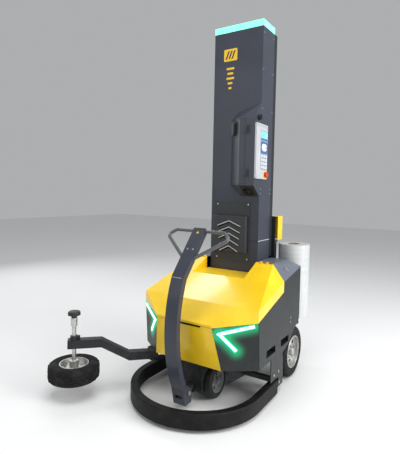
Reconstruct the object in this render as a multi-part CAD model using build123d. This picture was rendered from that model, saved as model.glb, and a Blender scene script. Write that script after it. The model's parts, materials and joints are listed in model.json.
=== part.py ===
from build123d import *
import math
import os

# Mobile pallet wrapper: a self-propelled machine that drives round a pallet, feels its side
# with a sprung wheel and winds stretch film on it from a carriage that climbs a mast.
# Millimetres. While modelling, x = 0 is the body's middle plane, y = 0 the mast's front face
# and z = 0 the floor. +Z is up and the front is -Y. At the end everything is moved so that
# the origin is on the floor, in the middle of the footprint.

# ---- clearances and sheet
RUN = 0.05                  # radial play of a shaft in its bore
GAP = 1.0                   # side play between turning pieces
SEAM = 2.0                  # visible joint between body panels
SHEET = 3.0                 # body panels and hood
FIT_PLAY = 0.5              # sliding shoes on their rails

# ---- body
BODY_W = 780
SKIRT_Z = 250               # lower edge of the body
NOSE_Y = -596               # front edge of the hood
NOSE_W = 366
NOSE_Z = 500
CORNER_Y = -452             # front corner of the hood at full width
CORNER_FOOT_Y = -432        # the same corner at the skirt
PANEL_FOOT_Y = -552         # front panel at the skirt
PANEL_FOOT_W = 444
HOOD_Z0 = 785               # height of the hood's main plane at y = 0
HOOD_SLOPE = 0.45
BAND_H = 65                 # side band of the hood
LIP_H = 12                  # band at the nose
SHOULDER_Y = -91            # where the side band ends
SHOULDER_Z = 680
WING_Y = -35                # rear edge of the wings
WING_X = 292                # outer crease of the deck
BACK_Y = 205
BACK_Z = 735
FINGER_SLOT = (224, 10)     # pull slot under the nose

# ---- mast
MAST_W, MAST_D, MAST_X = 356, 182, -10
MAST_Z, MAST_SEAM_Z, MAST_TOP = 690, 899, 2280
LIGHT_H = 40
MAST_WALL = 4
NOTCH_PLAY = 8              # hood and shoulders to mast
RAIL_W, RAIL_D = 30, 45

# ---- control box
BOX_X0, BOX_X1 = 60, 168    # front face
BOX_ROOT_X = -43            # foot of the slanted left face on the mast
BOX_D = 90
BOX_Z0, BOX_Z1 = 1262, 1690
BOX_ROOF_Z, BOX_SOLE_Z = 1792, 1190
BOX_HIP_X, BOX_HIP_Z, BOX_EAVE_Z = 10, 1747, 1700    # folds of the roof on the mast, above the slanted face
BOX_HEEL_X = 40
HANDLE_Z, HANDLE_REACH = 1630, 62    # door handle: height, and distance from the foot of the slanted face
HINGE_X = 107

# ---- frame, wheels
FRAME_Z, DECK_Z = 262, 338
PLATE = 4
RAIL_X0, RAIL_X1 = 250, 286
FORK_W, FORK_H, FORK_PITCH, FORK_Y, FORK_Z = 130, 42, 215, -267, 284
REAR_R, REAR_W, REAR_X1, REAR_Y = 165, 78, BODY_W / 2 - 12, 158
SHAFT_R = 12.5
FRONT_R, FRONT_W, FRONT_X0, STEER_Y = 100, 40, 72, -382
AXLE_R = 10
STEM_R = 50
TRAY_X, TRAY_Y0, TRAY_Y1, TRAY_Z = 204, -228, 96, 100
SKIRT_X, SKIRT_Y = 178, -400    # front ends of the tray's side skirts, outside the front wheels

# ---- tiller
TILLER_W, TILLER_T, TILLER_WALL = 80, 33, 3
TILLER_FOOT = (-640, 124)
TILLER_MID = (-714, 440)
TILLER_BEND = (-655, 755)
TILLER_HEAD = (-443, 1004)
TILLER_PIN = (-588, 92)
PIN_R = 8
FOOT_WINDOW = (46, 18)      # in the foot's front face
HANDLE_R = 10

# ---- bumper
BRACKET_X1 = BODY_W / 2 - SHEET - GAP
BRACKET_X0 = BRACKET_X1 - 6
BUMPER_R, BUMPER_T, BUMPER_Z, BUMPER_H = BRACKET_X1 + 11, 44, 20, 82
BUMPER_Y = -428             # centre of the round front
BUMPER_END_Y = -165
BUMPER_TRAVEL = 25
GUIDE_ROD_R = 8

# ---- feeler
FEELER_PIVOT = (-278, -506)
FEELER_AIM = 225            # direction of the arm in plan, degrees from +X
ARM_S = 50                  # square tube
ARM_Z, ARM_RISE = 192, 90
ARM_RUNS = (150, 312, 470)  # lower bend, upper bend and rod, measured from the pivot
ROD_R = 12.5
TYRE_R, TYRE_W, TYRE_Z = 148, 100, 97

# ---- carriage
ROLL_R, CORE_R, FILM_H, ROLL_Z = 109, 38, 500, 360
ROLL_X0 = 174               # inner side of the full roll, clear of the pre-stretch gear
ROLL = (ROLL_X0 + ROLL_R, 366)
CAR_Y0 = 232
CAR_X0, CAR_X1 = -150, 190
COVER_X1, COVER_Z0, COVER_Z1, COVER_Y1 = 208, 890, 1055, 340
STRETCH = ((105, 318), (15, 318))
STRETCH_R = 40
STRETCH_GEARS = (60, 30)    # pitch radii: the second roller turns twice as fast
CAR_PIN_R, CAR_PIN_L = 8, 24
POST_Z0, POST_Z1 = ROLL_Z - 10, COVER_Z0 - 28
DANCER_PIVOT, DANCER_REACH = (-70, 300), 70


# ---------------------------------------------------------------- helpers

def block(x0, x1, y0, y1, z0, z1):
    """A box between two corners."""
    centre = ((x0 + x1) / 2, (y0 + y1) / 2, (z0 + z1) / 2)
    return Pos(*centre) * Box(abs(x1 - x0), abs(y1 - y0), abs(z1 - z0))


def bar(radius, start, end):
    """A round bar between two points."""
    way = Vector(*end) - Vector(*start)
    place = Plane(origin=start, z_dir=way)
    return place * Cylinder(radius, way.length, align=(Align.CENTER, Align.CENTER, Align.MIN))


def ring(outer, inner, start, end):
    """A tube between two points."""
    return bar(outer, start, end) - bar(inner, start, end)


def slab(points, push):
    """A flat polygon through 3-D points, pushed along a vector into a sheet."""
    way = Vector(*push)
    face = make_face(Polyline(*points, close=True))
    return extrude(face, amount=way.length, dir=way.normalized())


def side_plate(points, x0, x1):
    """A plate across X with its outline given as (y, z)."""
    return slab([(x0, y, z) for y, z in points], (x1 - x0, 0, 0))


def flat_plate(points, z0, z1):
    """A level plate with its outline given as (x, y)."""
    return slab([(x, y, z0) for x, y in points], (0, 0, z1 - z0))


def other_side(shape):
    """The same piece on the left of the machine."""
    return mirror(shape, about=Plane.YZ)


def both_sides(shape):
    return [shape, other_side(shape)]


def hood_z(y):
    """Height of the hood's main plane."""
    return HOOD_Z0 + HOOD_SLOPE * y


# ---------------------------------------------------------------- body panels

HALF = BODY_W / 2
CORNER_TOP = hood_z(CORNER_Y)
CORNER_LOW = CORNER_TOP - BAND_H
NOTCH_X0 = MAST_X - MAST_W / 2 - NOTCH_PLAY
NOTCH_X1 = MAST_X + MAST_W / 2 + NOTCH_PLAY
NOTCH_Y = (MAST_Z - HOOD_Z0) / HOOD_SLOPE
WING_Z = hood_z(WING_Y)
HINGE = (WING_Y + SEAM / 2, WING_Z + 2)
KNUCKLE_R, HINGE_PIN_R = 5, 2.5
KNUCKLES = (203, 224, 245, 266)
KNUCKLE_L = 21


def hood():
    """Folded yellow hood: nose facet, main plane with a notch for the mast, two wings."""
    down = (0, 0, -SHEET)
    nose = [(-NOSE_W / 2, NOSE_Y, NOSE_Z), (NOSE_W / 2, NOSE_Y, NOSE_Z),
            (HALF, CORNER_Y, CORNER_TOP), (-HALF, CORNER_Y, CORNER_TOP)]
    main = [(-HALF, CORNER_Y, CORNER_TOP), (HALF, CORNER_Y, CORNER_TOP), (WING_X, WING_Y, WING_Z),
            (NOTCH_X1, WING_Y, WING_Z), (NOTCH_X1, NOTCH_Y, MAST_Z), (NOTCH_X0, NOTCH_Y, MAST_Z),
            (NOTCH_X0, WING_Y, WING_Z), (-WING_X, WING_Y, WING_Z)]
    wing = [(HALF, CORNER_Y, CORNER_TOP), (HALF, SHOULDER_Y, SHOULDER_Z), (WING_X, WING_Y, WING_Z)]
    band = side_plate([(CORNER_Y, CORNER_TOP), (SHOULDER_Y, SHOULDER_Z),
                       (SHOULDER_Y, SHOULDER_Z - BAND_H), (CORNER_Y, CORNER_LOW)], HALF, HALF - SHEET)
    slant = slab([(NOSE_W / 2, NOSE_Y, NOSE_Z), (HALF, CORNER_Y, CORNER_TOP),
                  (HALF, CORNER_Y, CORNER_LOW), (NOSE_W / 2, NOSE_Y, NOSE_Z - LIP_H)],
                 (-SHEET * 0.6, SHEET * 0.8, 0))
    lip = block(-NOSE_W / 2, NOSE_W / 2, NOSE_Y, NOSE_Y + SHEET, NOSE_Z - LIP_H, NOSE_Z)
    floor = block(NOTCH_X0 - SHEET, NOTCH_X1 + SHEET, NOTCH_Y, -NOTCH_PLAY, MAST_Z - SHEET, MAST_Z)
    wall = [(NOTCH_Y - 4, MAST_Z - SHEET), (WING_Y, WING_Z), (WING_Y, MAST_Z - SHEET)]
    shell = slab(nose, down) + slab(main, down) + lip + floor
    shell += side_plate(wall, NOTCH_X1, NOTCH_X1 + SHEET)
    shell += side_plate(wall, NOTCH_X0, NOTCH_X0 - SHEET)
    for piece in (slab(wing, down), band, slant):
        shell += piece
        shell += other_side(piece)
    for cut in both_sides(knuckle_cuts(KNUCKLES[1::2])):
        shell -= cut
    for piece in both_sides(knuckles(KNUCKLES[::2], -1)):
        shell += piece
    return shell - hinge_bore(RUN) - other_side(hinge_bore(RUN))


def knuckles(starts, way):
    """Hinge barrels with short tongues that reach forwards (-1) or backwards (1)."""
    y, z = HINGE
    out = None
    for x in starts:
        x0, x1 = x + GAP / 2, x + KNUCKLE_L - GAP / 2
        piece = bar(KNUCKLE_R, (x0, y, z), (x1, y, z))
        piece += block(x0, x1, y, y + way * 14, WING_Z - 8, WING_Z - 1)
        out = piece if out is None else out + piece
    return out


def knuckle_cuts(starts):
    """Room for the other leaf's barrels."""
    y, z = HINGE
    out = None
    for x in starts:
        room = block(x - GAP / 2, x + KNUCKLE_L + GAP / 2, y - 7, y + 7, z - 12, z + 12)
        out = room if out is None else out + room
    return out


def hinge_bore(play):
    y, z = HINGE
    return bar(HINGE_PIN_R + play, (KNUCKLES[0] - 2, y, z), (KNUCKLES[-1] + KNUCKLE_L + 2, y, z))


def shoulder(inner):
    """Grey shoulder plate: deck from the inner edge, outer facet and the fixed knuckles."""
    down = (0, 0, -SHEET)
    front = WING_Y + SEAM
    deck = [(inner, front, WING_Z), (WING_X, front, WING_Z),
            (WING_X, BACK_Y, WING_Z), (inner, BACK_Y, WING_Z)]
    facet_a = [(WING_X, front, WING_Z), (HALF, SHOULDER_Y + SEAM, SHOULDER_Z), (HALF, BACK_Y, BACK_Z)]
    facet_b = [(WING_X, front, WING_Z), (HALF, BACK_Y, BACK_Z), (WING_X, BACK_Y, WING_Z)]
    plate = slab(deck, down) + slab(facet_a, down) + slab(facet_b, down)
    plate = plate - knuckle_cuts(KNUCKLES[::2]) + knuckles(KNUCKLES[1::2], 1)
    return plate - hinge_bore(0) - lock_hole()


LOCK_R, LOCK_STEM_R = 15, 8


def facet_plane():
    """Plane of the shoulder's front facet, with the lock's axis as its normal."""
    a = Vector(WING_X, WING_Y + SEAM, WING_Z)
    b = Vector(HALF, SHOULDER_Y + SEAM, SHOULDER_Z)
    c = Vector(HALF, BACK_Y, BACK_Z)
    normal = (b - a).cross(c - a).normalized()
    centre = (a + b + c) * (1 / 3)
    return Plane(origin=centre, x_dir=(b - a).normalized(), z_dir=normal)


def lock_hole():
    return facet_plane() * Cylinder(LOCK_STEM_R + RUN, 40)


def cam_lock():
    """Quarter-turn lock of a shoulder plate: slotted head, stem and cam."""
    head = Pos(0, 0, 3.5) * Cylinder(LOCK_R, 6) - Pos(0, 0, 6) * Box(3.5, 2 * LOCK_R, 5)
    stem = Pos(0, 0, -10) * Cylinder(LOCK_STEM_R, 22)
    cam = Pos(8, 0, -17) * Box(30, 12, 4)
    return facet_plane() * (head + stem + cam)


def hinge_pins():
    y, z = HINGE
    return both_sides(bar(HINGE_PIN_R, (KNUCKLES[0], y, z), (KNUCKLES[-1] + KNUCKLE_L, y, z)))


def front_panel():
    """Yellow front panel with the finger slot under the nose."""
    top = NOSE_Z - LIP_H - SEAM
    outline = [(-NOSE_W / 2, NOSE_Y, top), (NOSE_W / 2, NOSE_Y, top),
               (PANEL_FOOT_W / 2, PANEL_FOOT_Y, SKIRT_Z), (-PANEL_FOOT_W / 2, PANEL_FOOT_Y, SKIRT_Z)]
    panel = slab(outline, (0, SHEET, 0))
    wide, tall = FINGER_SLOT
    slot = block(-wide / 2, wide / 2, NOSE_Y - 5, NOSE_Y + 30, top - tall, top + 5)
    foot = block(-PANEL_FOOT_W / 2 + 20, PANEL_FOOT_W / 2 - 20, PANEL_FOOT_Y - 2, -471, FRAME_Z, FRAME_Z + SHEET)
    return panel - slot + foot


CORNER_TOP_EDGE = CORNER_LOW - SEAM


def corner_points():
    top = NOSE_Z - LIP_H - SEAM
    inset = SEAM
    return [Vector(NOSE_W / 2 + inset, NOSE_Y + 1, top), Vector(HALF, CORNER_Y, CORNER_TOP_EDGE),
            Vector(HALF, CORNER_FOOT_Y, SKIRT_Z), Vector(PANEL_FOOT_W / 2 + inset, PANEL_FOOT_Y + 1, SKIRT_Z)]


def corner_plane():
    """Plane of the right corner panel: origin at its upper inner corner, x outwards."""
    c_top, b_top, b_foot, c_foot = corner_points()
    across = (b_top - c_top).normalized()
    normal = (b_foot - c_top).cross(b_top - c_top).normalized()
    if normal.Y > 0:
        normal = normal * -1
    return Plane(origin=c_top, x_dir=across, z_dir=normal)


def corner_panel():
    """Dark corner panel of the right side, two triangles folded by a hair."""
    c_top, b_top, b_foot, c_foot = [tuple(p) for p in corner_points()]
    push = (-SHEET * 0.55, SHEET * 0.83, 0)
    panel = slab([c_top, b_top, b_foot], push) + slab([c_top, b_foot, c_foot], push)
    return panel - arrow_light(ARROW_PLAY)


ARROW = ((36, -34), (231, -12), (120, -140))   # tip, upper end, lower end
ARROW_W, ARROW_T, ARROW_PROUD = 20, 9, 2
ARROW_PLAY = 0.5


def arrow_light(play=0):
    """Arrow-shaped light guide set in the right corner panel, its tip towards the nose."""
    tip, upper, lower = [Vector(*p) for p in ARROW]
    shape = Pos(tip.X, tip.Y) * Circle(ARROW_W / 2 + play)
    for end in (upper, lower):
        way = end - tip
        turn = math.degrees(math.atan2(way.Y, way.X))
        reach = way.length + play
        shape += Pos(tip.X, tip.Y) * Rot(0, 0, turn) * Pos(reach / 2, 0) * Rectangle(reach, ARROW_W + 2 * play)
    depth = ARROW_T + 8 * play
    return corner_plane() * Pos(0, 0, -depth + ARROW_PROUD + 4 * play) * extrude(shape, amount=depth)


def side_panel():
    """Dark side panel of the right side, cut for the wheel and the fork pockets."""
    outline = [(CORNER_Y + 2 * SHEET, CORNER_TOP_EDGE), (SHOULDER_Y, SHOULDER_Z - BAND_H - SEAM),
               (SHOULDER_Y + SEAM, SHOULDER_Z - SHEET - 1), (BACK_Y, BACK_Z - SHEET - 1),
               (BACK_Y, 411), (REAR_Y + 35, 366), (REAR_Y - 30, 344), (REAR_Y - 132, 276),
               (-96, 232), (-130, SKIRT_Z), (CORNER_FOOT_Y + 2 * SHEET, SKIRT_Z)]
    plate = side_plate(outline, HALF, HALF - SHEET)
    for pocket in fork_pockets(HALF - 20, HALF + 20):
        plate -= pocket
    return plate


def fork_pockets(x0, x1, grow=0):
    out = []
    for k in (0, 1):
        y = FORK_Y + k * FORK_PITCH
        out.append(block(x0, x1, y - FORK_W / 2 - grow, y + FORK_W / 2 + grow, FORK_Z - grow,
                         FORK_Z + FORK_H + grow))
    return out


def rear_panel():
    """Rear wall with cooling slots and a cut for the wheels."""
    wall = block(-HALF + SHEET, HALF - SHEET, BACK_Y - SHEET, BACK_Y, DECK_Z + 6, BACK_Z - SHEET - 2)
    for k in range(8):
        z = 400 + 18 * k
        wall -= block(-60, 60, BACK_Y - 10, BACK_Y + 10, z, z + 7)
    foot_z = DECK_Z + PLATE
    return wall + block(-300, 300, MAST_D + SEAM, BACK_Y - SHEET, foot_z + 2, foot_z + 2 + SHEET)


# ---------------------------------------------------------------- frame and what it carries

def chassis_frame():
    """Welded frame: deck plate, long rails, cross beams and the two fork tubes."""
    deck = flat_plate([(-205, -535), (205, -535), (HALF - 12, CORNER_FOOT_Y + 20), (HALF - 12, BACK_Y - 6),
                       (-HALF + 12, BACK_Y - 6), (-HALF + 12, CORNER_FOOT_Y + 20)], DECK_Z, DECK_Z + PLATE)
    frame = deck
    for side in (1, -1):
        frame += block(side * RAIL_X0, side * RAIL_X1, -470, BACK_Y - 10, FRAME_Z, DECK_Z)
        frame += block(side * RAIL_X1, side * BRACKET_X0, -245, -92, FRAME_Z, FORK_Z - PLATE)
        frame += block(side * (RAIL_X1 - 12), side * RAIL_X1, REAR_Y - 50, BACK_Y - 10, REAR_Y - 48, FRAME_Z)
        frame -= bar(SHAFT_R + 1, (side * 200, REAR_Y, REAR_R), (side * 340, REAR_Y, REAR_R))
    frame += block(-RAIL_X1, RAIL_X1, -470, -440, FRAME_Z, DECK_Z)
    frame += block(-RAIL_X1, RAIL_X1, BACK_Y - 40, BACK_Y - 10, FRAME_Z, DECK_Z)
    frame += block(-RAIL_X0, RAIL_X0, -470, -296, FRAME_Z, FRAME_Z + 8)
    for tube in fork_pockets(-HALF + SHEET, HALF - SHEET, PLATE):
        frame += tube
    for pocket in fork_pockets(-HALF, HALF):
        frame -= pocket
    frame -= bar(STEM_R + 4, (0, STEER_Y, 200), (0, STEER_Y, FRAME_Z + 30))
    return frame


def belly_tray():
    """Sheet tray under the frame, with side skirts and the arms that hold the bumper's brackets."""
    tray = block(-TRAY_X, TRAY_X, TRAY_Y0, TRAY_Y1, TRAY_Z, FRAME_Z)
    tray -= block(-TRAY_X + PLATE, TRAY_X - PLATE, TRAY_Y0 + PLATE, TRAY_Y1 - PLATE, TRAY_Z + PLATE, FRAME_Z + 1)
    tray += block(TRAY_X - PLATE, RAIL_X1, TRAY_Y0, TRAY_Y1, FRAME_Z - PLATE, FRAME_Z)
    tray += block(-RAIL_X1, -TRAY_X + PLATE, TRAY_Y0, TRAY_Y1, FRAME_Z - PLATE, FRAME_Z)
    arm_z = BUMPER_Z + BUMPER_H + 4
    skirt = flat_plate([(TRAY_X, TRAY_Y0 + PLATE), (SKIRT_X, SKIRT_Y), (SKIRT_X - PLATE, SKIRT_Y),
                        (TRAY_X - PLATE, TRAY_Y0 + PLATE)], TRAY_Z, FRAME_Z)
    tray = tray + skirt + other_side(skirt)
    for side in (1, -1):
        tray += block(side * (TRAY_X - PLATE), side * BRACKET_X0, TRAY_Y0, TRAY_Y0 + 24, arm_z, arm_z + 28)
    return tray


def mast_pedestal():
    """Welded stand that carries the mast: top plate, four posts and a foot plate."""
    x0, x1 = MAST_X - MAST_W / 2, MAST_X + MAST_W / 2
    base = DECK_Z + PLATE
    stand = block(x0, x1, 0, MAST_D, MAST_Z - 12, MAST_Z)
    stand += block(x0, x1, 0, MAST_D, base, base + 8)
    for x in (x0, x1 - 40):
        for y in (0, MAST_D - 40):
            stand += block(x, x + 40, y, y + 40, base + 8, MAST_Z - 12)
    return stand


def batteries():
    """Two traction batteries with their terminals."""
    out = []
    for y in (-425, -245):
        z = DECK_Z + PLATE
        case = fillet(block(-170, 170, y, y + 172, z, z + 205).edges().filter_by(Axis.Z), 8)
        case += block(-165, 165, y + 5, y + 167, z + 205, z + 212)
        for x in (-140, 140):
            case += bar(9, (x, y + 30, z + 210), (x, y + 30, z + 226))
        out.append(case)
    return out


def drive_controller():
    """Motor controller: case with cooling fins."""
    z = DECK_Z + PLATE
    unit = block(190, 370, -400, -260, z, z + 60)
    for k in range(9):
        unit += block(198 + 20 * k, 202 + 20 * k, -396, -264, z + 60, z + 84)
    return unit


def gearmotors():
    """Two wheel gearmotors with their output shafts."""
    out = []
    for side in (1, -1):
        box = block(side * 190, side * (RAIL_X1 - 12), REAR_Y - 48, REAR_Y + 48, REAR_R - 55, REAR_R + 60)
        motor = bar(42, (side * 30, REAR_Y, REAR_R + 12), (side * 190, REAR_Y, REAR_R + 12))
        shaft = bar(SHAFT_R, (side * 240, REAR_Y, REAR_R), (side * (REAR_X1 - 12), REAR_Y, REAR_R))
        out.append(box + motor + shaft)
    return out


# ---------------------------------------------------------------- wheels

def wheel_tyre(radius, width, rim, x0, y, z):
    """A rounded tyre round the X axis, standing from x0 to x0 + width."""
    body = bar(radius, (x0, y, z), (x0 + width, y, z))
    body = fillet(body.edges().filter_by(GeomType.CIRCLE), min(width, radius - rim) * 0.32)
    return body - bar(rim, (x0 - 1, y, z), (x0 + width + 1, y, z))


RIM_R = 104


def rear_rim():
    """Pressed steel rim of the right rear wheel: drum, dished disc with holes and hub."""
    x0, x1 = REAR_X1 - REAR_W, REAR_X1
    centre = (REAR_Y, REAR_R)
    rim = ring(RIM_R, RIM_R - 5, (x0 + 3, *centre), (x1 - 3, *centre))
    rim += bar(RIM_R - 4, (x1 - 34, *centre), (x1 - 29, *centre))
    rim += bar(30, (x0 + 6, *centre), (x1 - 14, *centre))
    for k in range(8):
        turn = math.radians(45 * k)
        y, z = REAR_Y + 68 * math.cos(turn), REAR_R + 68 * math.sin(turn)
        rim -= bar(13, (x0, y, z), (x1, y, z))
    return rim - bar(SHAFT_R + RUN, (x0 - 1, *centre), (x1 + 1, *centre))


def rear_tyre():
    return wheel_tyre(REAR_R, REAR_W, RIM_R, REAR_X1 - REAR_W, REAR_Y, REAR_R)


FRONT_RIM_R = 66


def front_tyre():
    return wheel_tyre(FRONT_R, FRONT_W, FRONT_RIM_R, FRONT_X0, STEER_Y, FRONT_R)


def front_hub():
    """Cast hub of the right front wheel with five round pockets."""
    x0, x1 = FRONT_X0, FRONT_X0 + FRONT_W
    centre = (STEER_Y, FRONT_R)
    hub = bar(FRONT_RIM_R, (x0 + 2, *centre), (x1 - 2, *centre))
    hub -= ring(FRONT_RIM_R - 8, 24, (x1 - 12, *centre), (x1, *centre))
    for k in range(5):
        turn = math.radians(72 * k + 18)
        y, z = STEER_Y + 42 * math.cos(turn), FRONT_R + 42 * math.sin(turn)
        hub -= bar(11, (x0, y, z), (x1, y, z))
    return hub - bar(AXLE_R + RUN, (x0 - 1, *centre), (x1 + 1, *centre))


# ---------------------------------------------------------------- steering and tiller

ARM_X0, ARM_X1 = 56, FRONT_X0 - GAP
HOUSING_Y = STEER_Y - FRONT_R - 16
TONGUE_W = 34
TONGUE_ROOM = 26    # free radius round the tongue's end


def slewing_ring():
    return ring(STEM_R + 32, STEM_R + RUN, (0, STEER_Y, FRAME_Z - 24), (0, STEER_Y, FRAME_Z))


def steering_fork():
    """Steering fork: stem in the slewing ring, two cheeks, web and the tongue of the tiller."""
    top = FRAME_Z - 26
    fork = bar(STEM_R, (0, STEER_Y, top - 1), (0, STEER_Y, FRAME_Z + 6))
    fork += block(-ARM_X1, ARM_X1, STEER_Y - 55, STEER_Y + 55, top - 14, top)
    for side in (1, -1):
        fork += block(side * ARM_X0, side * ARM_X1, STEER_Y - 40, STEER_Y + 40, FRONT_R - 35, top - 10)
    fork += block(-ARM_X0, ARM_X0, STEER_Y - 55, STEER_Y - 43, FRONT_R + 18, top - 10)
    fork += block(-ARM_X1, ARM_X1, STEER_Y - 55, STEER_Y - 40, FRONT_R - 35, FRONT_R + 20)
    for side in (1, -1):
        fork += block(side * (ARM_X1 - PLATE), side * ARM_X1, HOUSING_Y, STEER_Y - 40, FRONT_R - 38, top)
    fork += block(-ARM_X1, ARM_X1, HOUSING_Y - PLATE, HOUSING_Y, FRONT_R - 38, top)
    fork += block(-ARM_X1, ARM_X1, HOUSING_Y, STEER_Y - 40, top - PLATE, top)
    pin_y, pin_z = TILLER_PIN
    tongue = block(-TONGUE_W / 2, TONGUE_W / 2, pin_y - 16, STEER_Y - 50, pin_z - 16, pin_z + 16)
    wedge = [(HOUSING_Y - 8, pin_z - 36), (HOUSING_Y - 8, pin_z + 42), (STEER_Y - 50, pin_z + 42),
             (STEER_Y - 50, pin_z - 36)]
    fork += tongue + side_plate(wedge, -TONGUE_W / 2, TONGUE_W / 2)
    fork -= bar(PIN_R, (-40, pin_y, pin_z), (40, pin_y, pin_z))
    return fork - bar(AXLE_R, (-120, STEER_Y, FRONT_R), (120, STEER_Y, FRONT_R))


def front_axle():
    """Axle with two end washers."""
    end = FRONT_X0 + FRONT_W
    axle = bar(AXLE_R, (-end, STEER_Y, FRONT_R), (end, STEER_Y, FRONT_R))
    for side in (1, -1):
        axle += bar(18, (side * (end + GAP), STEER_Y, FRONT_R), (side * (end + 5), STEER_Y, FRONT_R))
        axle += bar(AXLE_R, (side * end, STEER_Y, FRONT_R), (side * (end + 9), STEER_Y, FRONT_R))
    return axle


def tiller_pin():
    pin_y, pin_z = TILLER_PIN
    half = TILLER_W / 2
    pin = bar(PIN_R, (-half - 4, pin_y, pin_z), (half + 4, pin_y, pin_z))
    return pin + bar(12, (half + GAP, pin_y, pin_z), (half + 8, pin_y, pin_z))


def arc_centre(a, b, c):
    """Centre of the circle through three points in a plane."""
    d = 2 * (a[0] * (b[1] - c[1]) + b[0] * (c[1] - a[1]) + c[0] * (a[1] - b[1]))
    squares = [p[0] ** 2 + p[1] ** 2 for p in (a, b, c)]
    u = (squares[0] * (b[1] - c[1]) + squares[1] * (c[1] - a[1]) + squares[2] * (a[1] - b[1])) / d
    v = (squares[0] * (c[0] - b[0]) + squares[1] * (a[0] - c[0]) + squares[2] * (b[0] - a[0])) / d
    return u, v


def tiller_stem(inset):
    """Bowed lower run of the tiller's box section, shrunk on all sides by inset."""
    cy, cz = arc_centre(TILLER_FOOT, TILLER_MID, TILLER_BEND)

    def toward(point, depth):
        reach = math.hypot(cy - point[0], cz - point[1])
        return (point[0] + (cy - point[0]) * depth / reach, point[1] + (cz - point[1]) * depth / reach)

    front = [toward(p, inset) for p in (TILLER_FOOT, TILLER_MID, TILLER_BEND)]
    back = [toward(p, TILLER_T - inset) for p in (TILLER_BEND, TILLER_MID, TILLER_FOOT)]
    x = TILLER_W / 2 - inset
    edges = [ThreePointArc(*[(x, *p) for p in front]), Line((x, *front[2]), (x, *back[0])),
             ThreePointArc(*[(x, *p) for p in back]), Line((x, *back[2]), (x, *front[0]))]
    return extrude(make_face(edges), amount=2 * x, dir=(-1, 0, 0))


def head_plane():
    """Plane of the tiller's straight head: origin on its axis at the top, y up the tiller."""
    (y0, z0), (y1, z1) = TILLER_BEND, TILLER_HEAD
    reach = math.hypot(y1 - y0, z1 - z0)
    up = Vector(0, (y1 - y0) / reach, (z1 - z0) / reach)
    inwards = Vector(0, up.Z, -up.Y)
    centre = Vector(0, y1, z1) + inwards * (TILLER_T / 2)
    return Plane(origin=centre, x_dir=(1, 0, 0), z_dir=Vector(1, 0, 0).cross(up))


def tiller_head_length():
    (y0, z0), (y1, z1) = TILLER_BEND, TILLER_HEAD
    return math.hypot(y1 - y0, z1 - z0)


def tiller_tube():
    """Tiller: bowed box section, bent head and a foot box slotted for the tongue."""
    reach = tiller_head_length()
    outer = tiller_stem(0)
    head = head_plane() * Pos(0, -reach / 2, 0) * Box(TILLER_W, reach, TILLER_T)
    inner = tiller_stem(TILLER_WALL)
    hollow = head_plane() * Pos(0, -reach / 2 - 8, 0) * Box(TILLER_W - 2 * TILLER_WALL, reach,
                                                           TILLER_T - 2 * TILLER_WALL)
    tube = outer + head - inner - hollow
    half = TILLER_W / 2
    tube += side_plate([(-643, 132), (-606, 140), (-556, 104), (-560, 32), (-618, 27)], -half, half)
    pin_y, pin_z = TILLER_PIN
    room = [(pin_y - TONGUE_ROOM, pin_z + TONGUE_ROOM), (pin_y + 60, pin_z + TONGUE_ROOM), (pin_y + 60, pin_z - 90),
            (pin_y + 10, pin_z - 90), (pin_y - TONGUE_ROOM, pin_z - 30)]
    tube -= side_plate(room, -TONGUE_W / 2 - GAP, TONGUE_W / 2 + GAP)
    wide, tall = FOOT_WINDOW
    tube -= block(-wide / 2, wide / 2, -660, -612, 66, 66 + tall)
    return tube - bar(PIN_R + RUN, (-60, pin_y, pin_z), (60, pin_y, pin_z))


def tiller_handle():
    """Two bent tube loops, one on each side of the head."""
    half = TILLER_W / 2
    points = [(half, -12, 0), (165, -12, 0), (211, -54, 0), (half, -196, 0)]
    path = FilletPolyline(*points, radius=24)
    loop = head_plane() * sweep(Plane(origin=points[0], z_dir=(1, 0, 0)) * Circle(HANDLE_R), path=path)
    loop -= block(-half, half, -800, 0, 0, 1200)
    return both_sides(loop)


# ---------------------------------------------------------------- bumper

def bumper_ring():
    """Bumper: round front on two straight legs, each ending in a guide rod."""
    inner = BUMPER_R - BUMPER_T
    z0, z1 = BUMPER_Z, BUMPER_Z + BUMPER_H
    body = ring(BUMPER_R, inner, (0, BUMPER_Y, z0), (0, BUMPER_Y, z1))
    body -= block(-500, 500, BUMPER_Y, BUMPER_Y + 500, z0 - 1, z1 + 1)
    for side in (1, -1):
        body += block(side * inner, side * BUMPER_R, BUMPER_Y, BUMPER_END_Y, z0, z1)
    body = fillet(body.edges().group_by(Axis.Z)[-1], 6)
    rod_z = BUMPER_Z + BUMPER_H / 2
    for side in (1, -1):
        x = side * (BUMPER_R - BUMPER_T / 2 - 6)
        body += bar(GUIDE_ROD_R, (x, BUMPER_END_Y - 5, rod_z), (x, BUMPER_END_Y + 118, rod_z))
    return body


def bumper_bracket():
    """Side bracket: hanging plate and the block that guides the bumper's rod."""
    z1 = BUMPER_Z + BUMPER_H
    end = BUMPER_END_Y + BUMPER_TRAVEL + 10
    outline = [(-248, FORK_Z - PLATE), (-92, FORK_Z - PLATE), (-60, 200), (-60, 42), (end, 42),
               (end, z1 + 5), (-248, z1 + 5)]
    plate = side_plate(outline, BRACKET_X0, BRACKET_X1)
    rod_x, rod_z = BUMPER_R - BUMPER_T / 2 - 6, BUMPER_Z + BUMPER_H / 2
    plate += block(rod_x - 18, BRACKET_X0, end + 12, end + 62, rod_z - 18, rod_z + 18)
    return plate - bar(GUIDE_ROD_R + RUN, (rod_x, end, rod_z), (rod_x, end + 80, rod_z))


def bumper_buffer():
    """Rubber buffer on the guide block, round the rod."""
    rod_x, rod_z = BUMPER_R - BUMPER_T / 2 - 6, BUMPER_Z + BUMPER_H / 2
    end = BUMPER_END_Y + BUMPER_TRAVEL + 22
    return ring(16, GUIDE_ROD_R + 0.6, (rod_x, end - 12, rod_z), (rod_x, end, rod_z))


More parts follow.
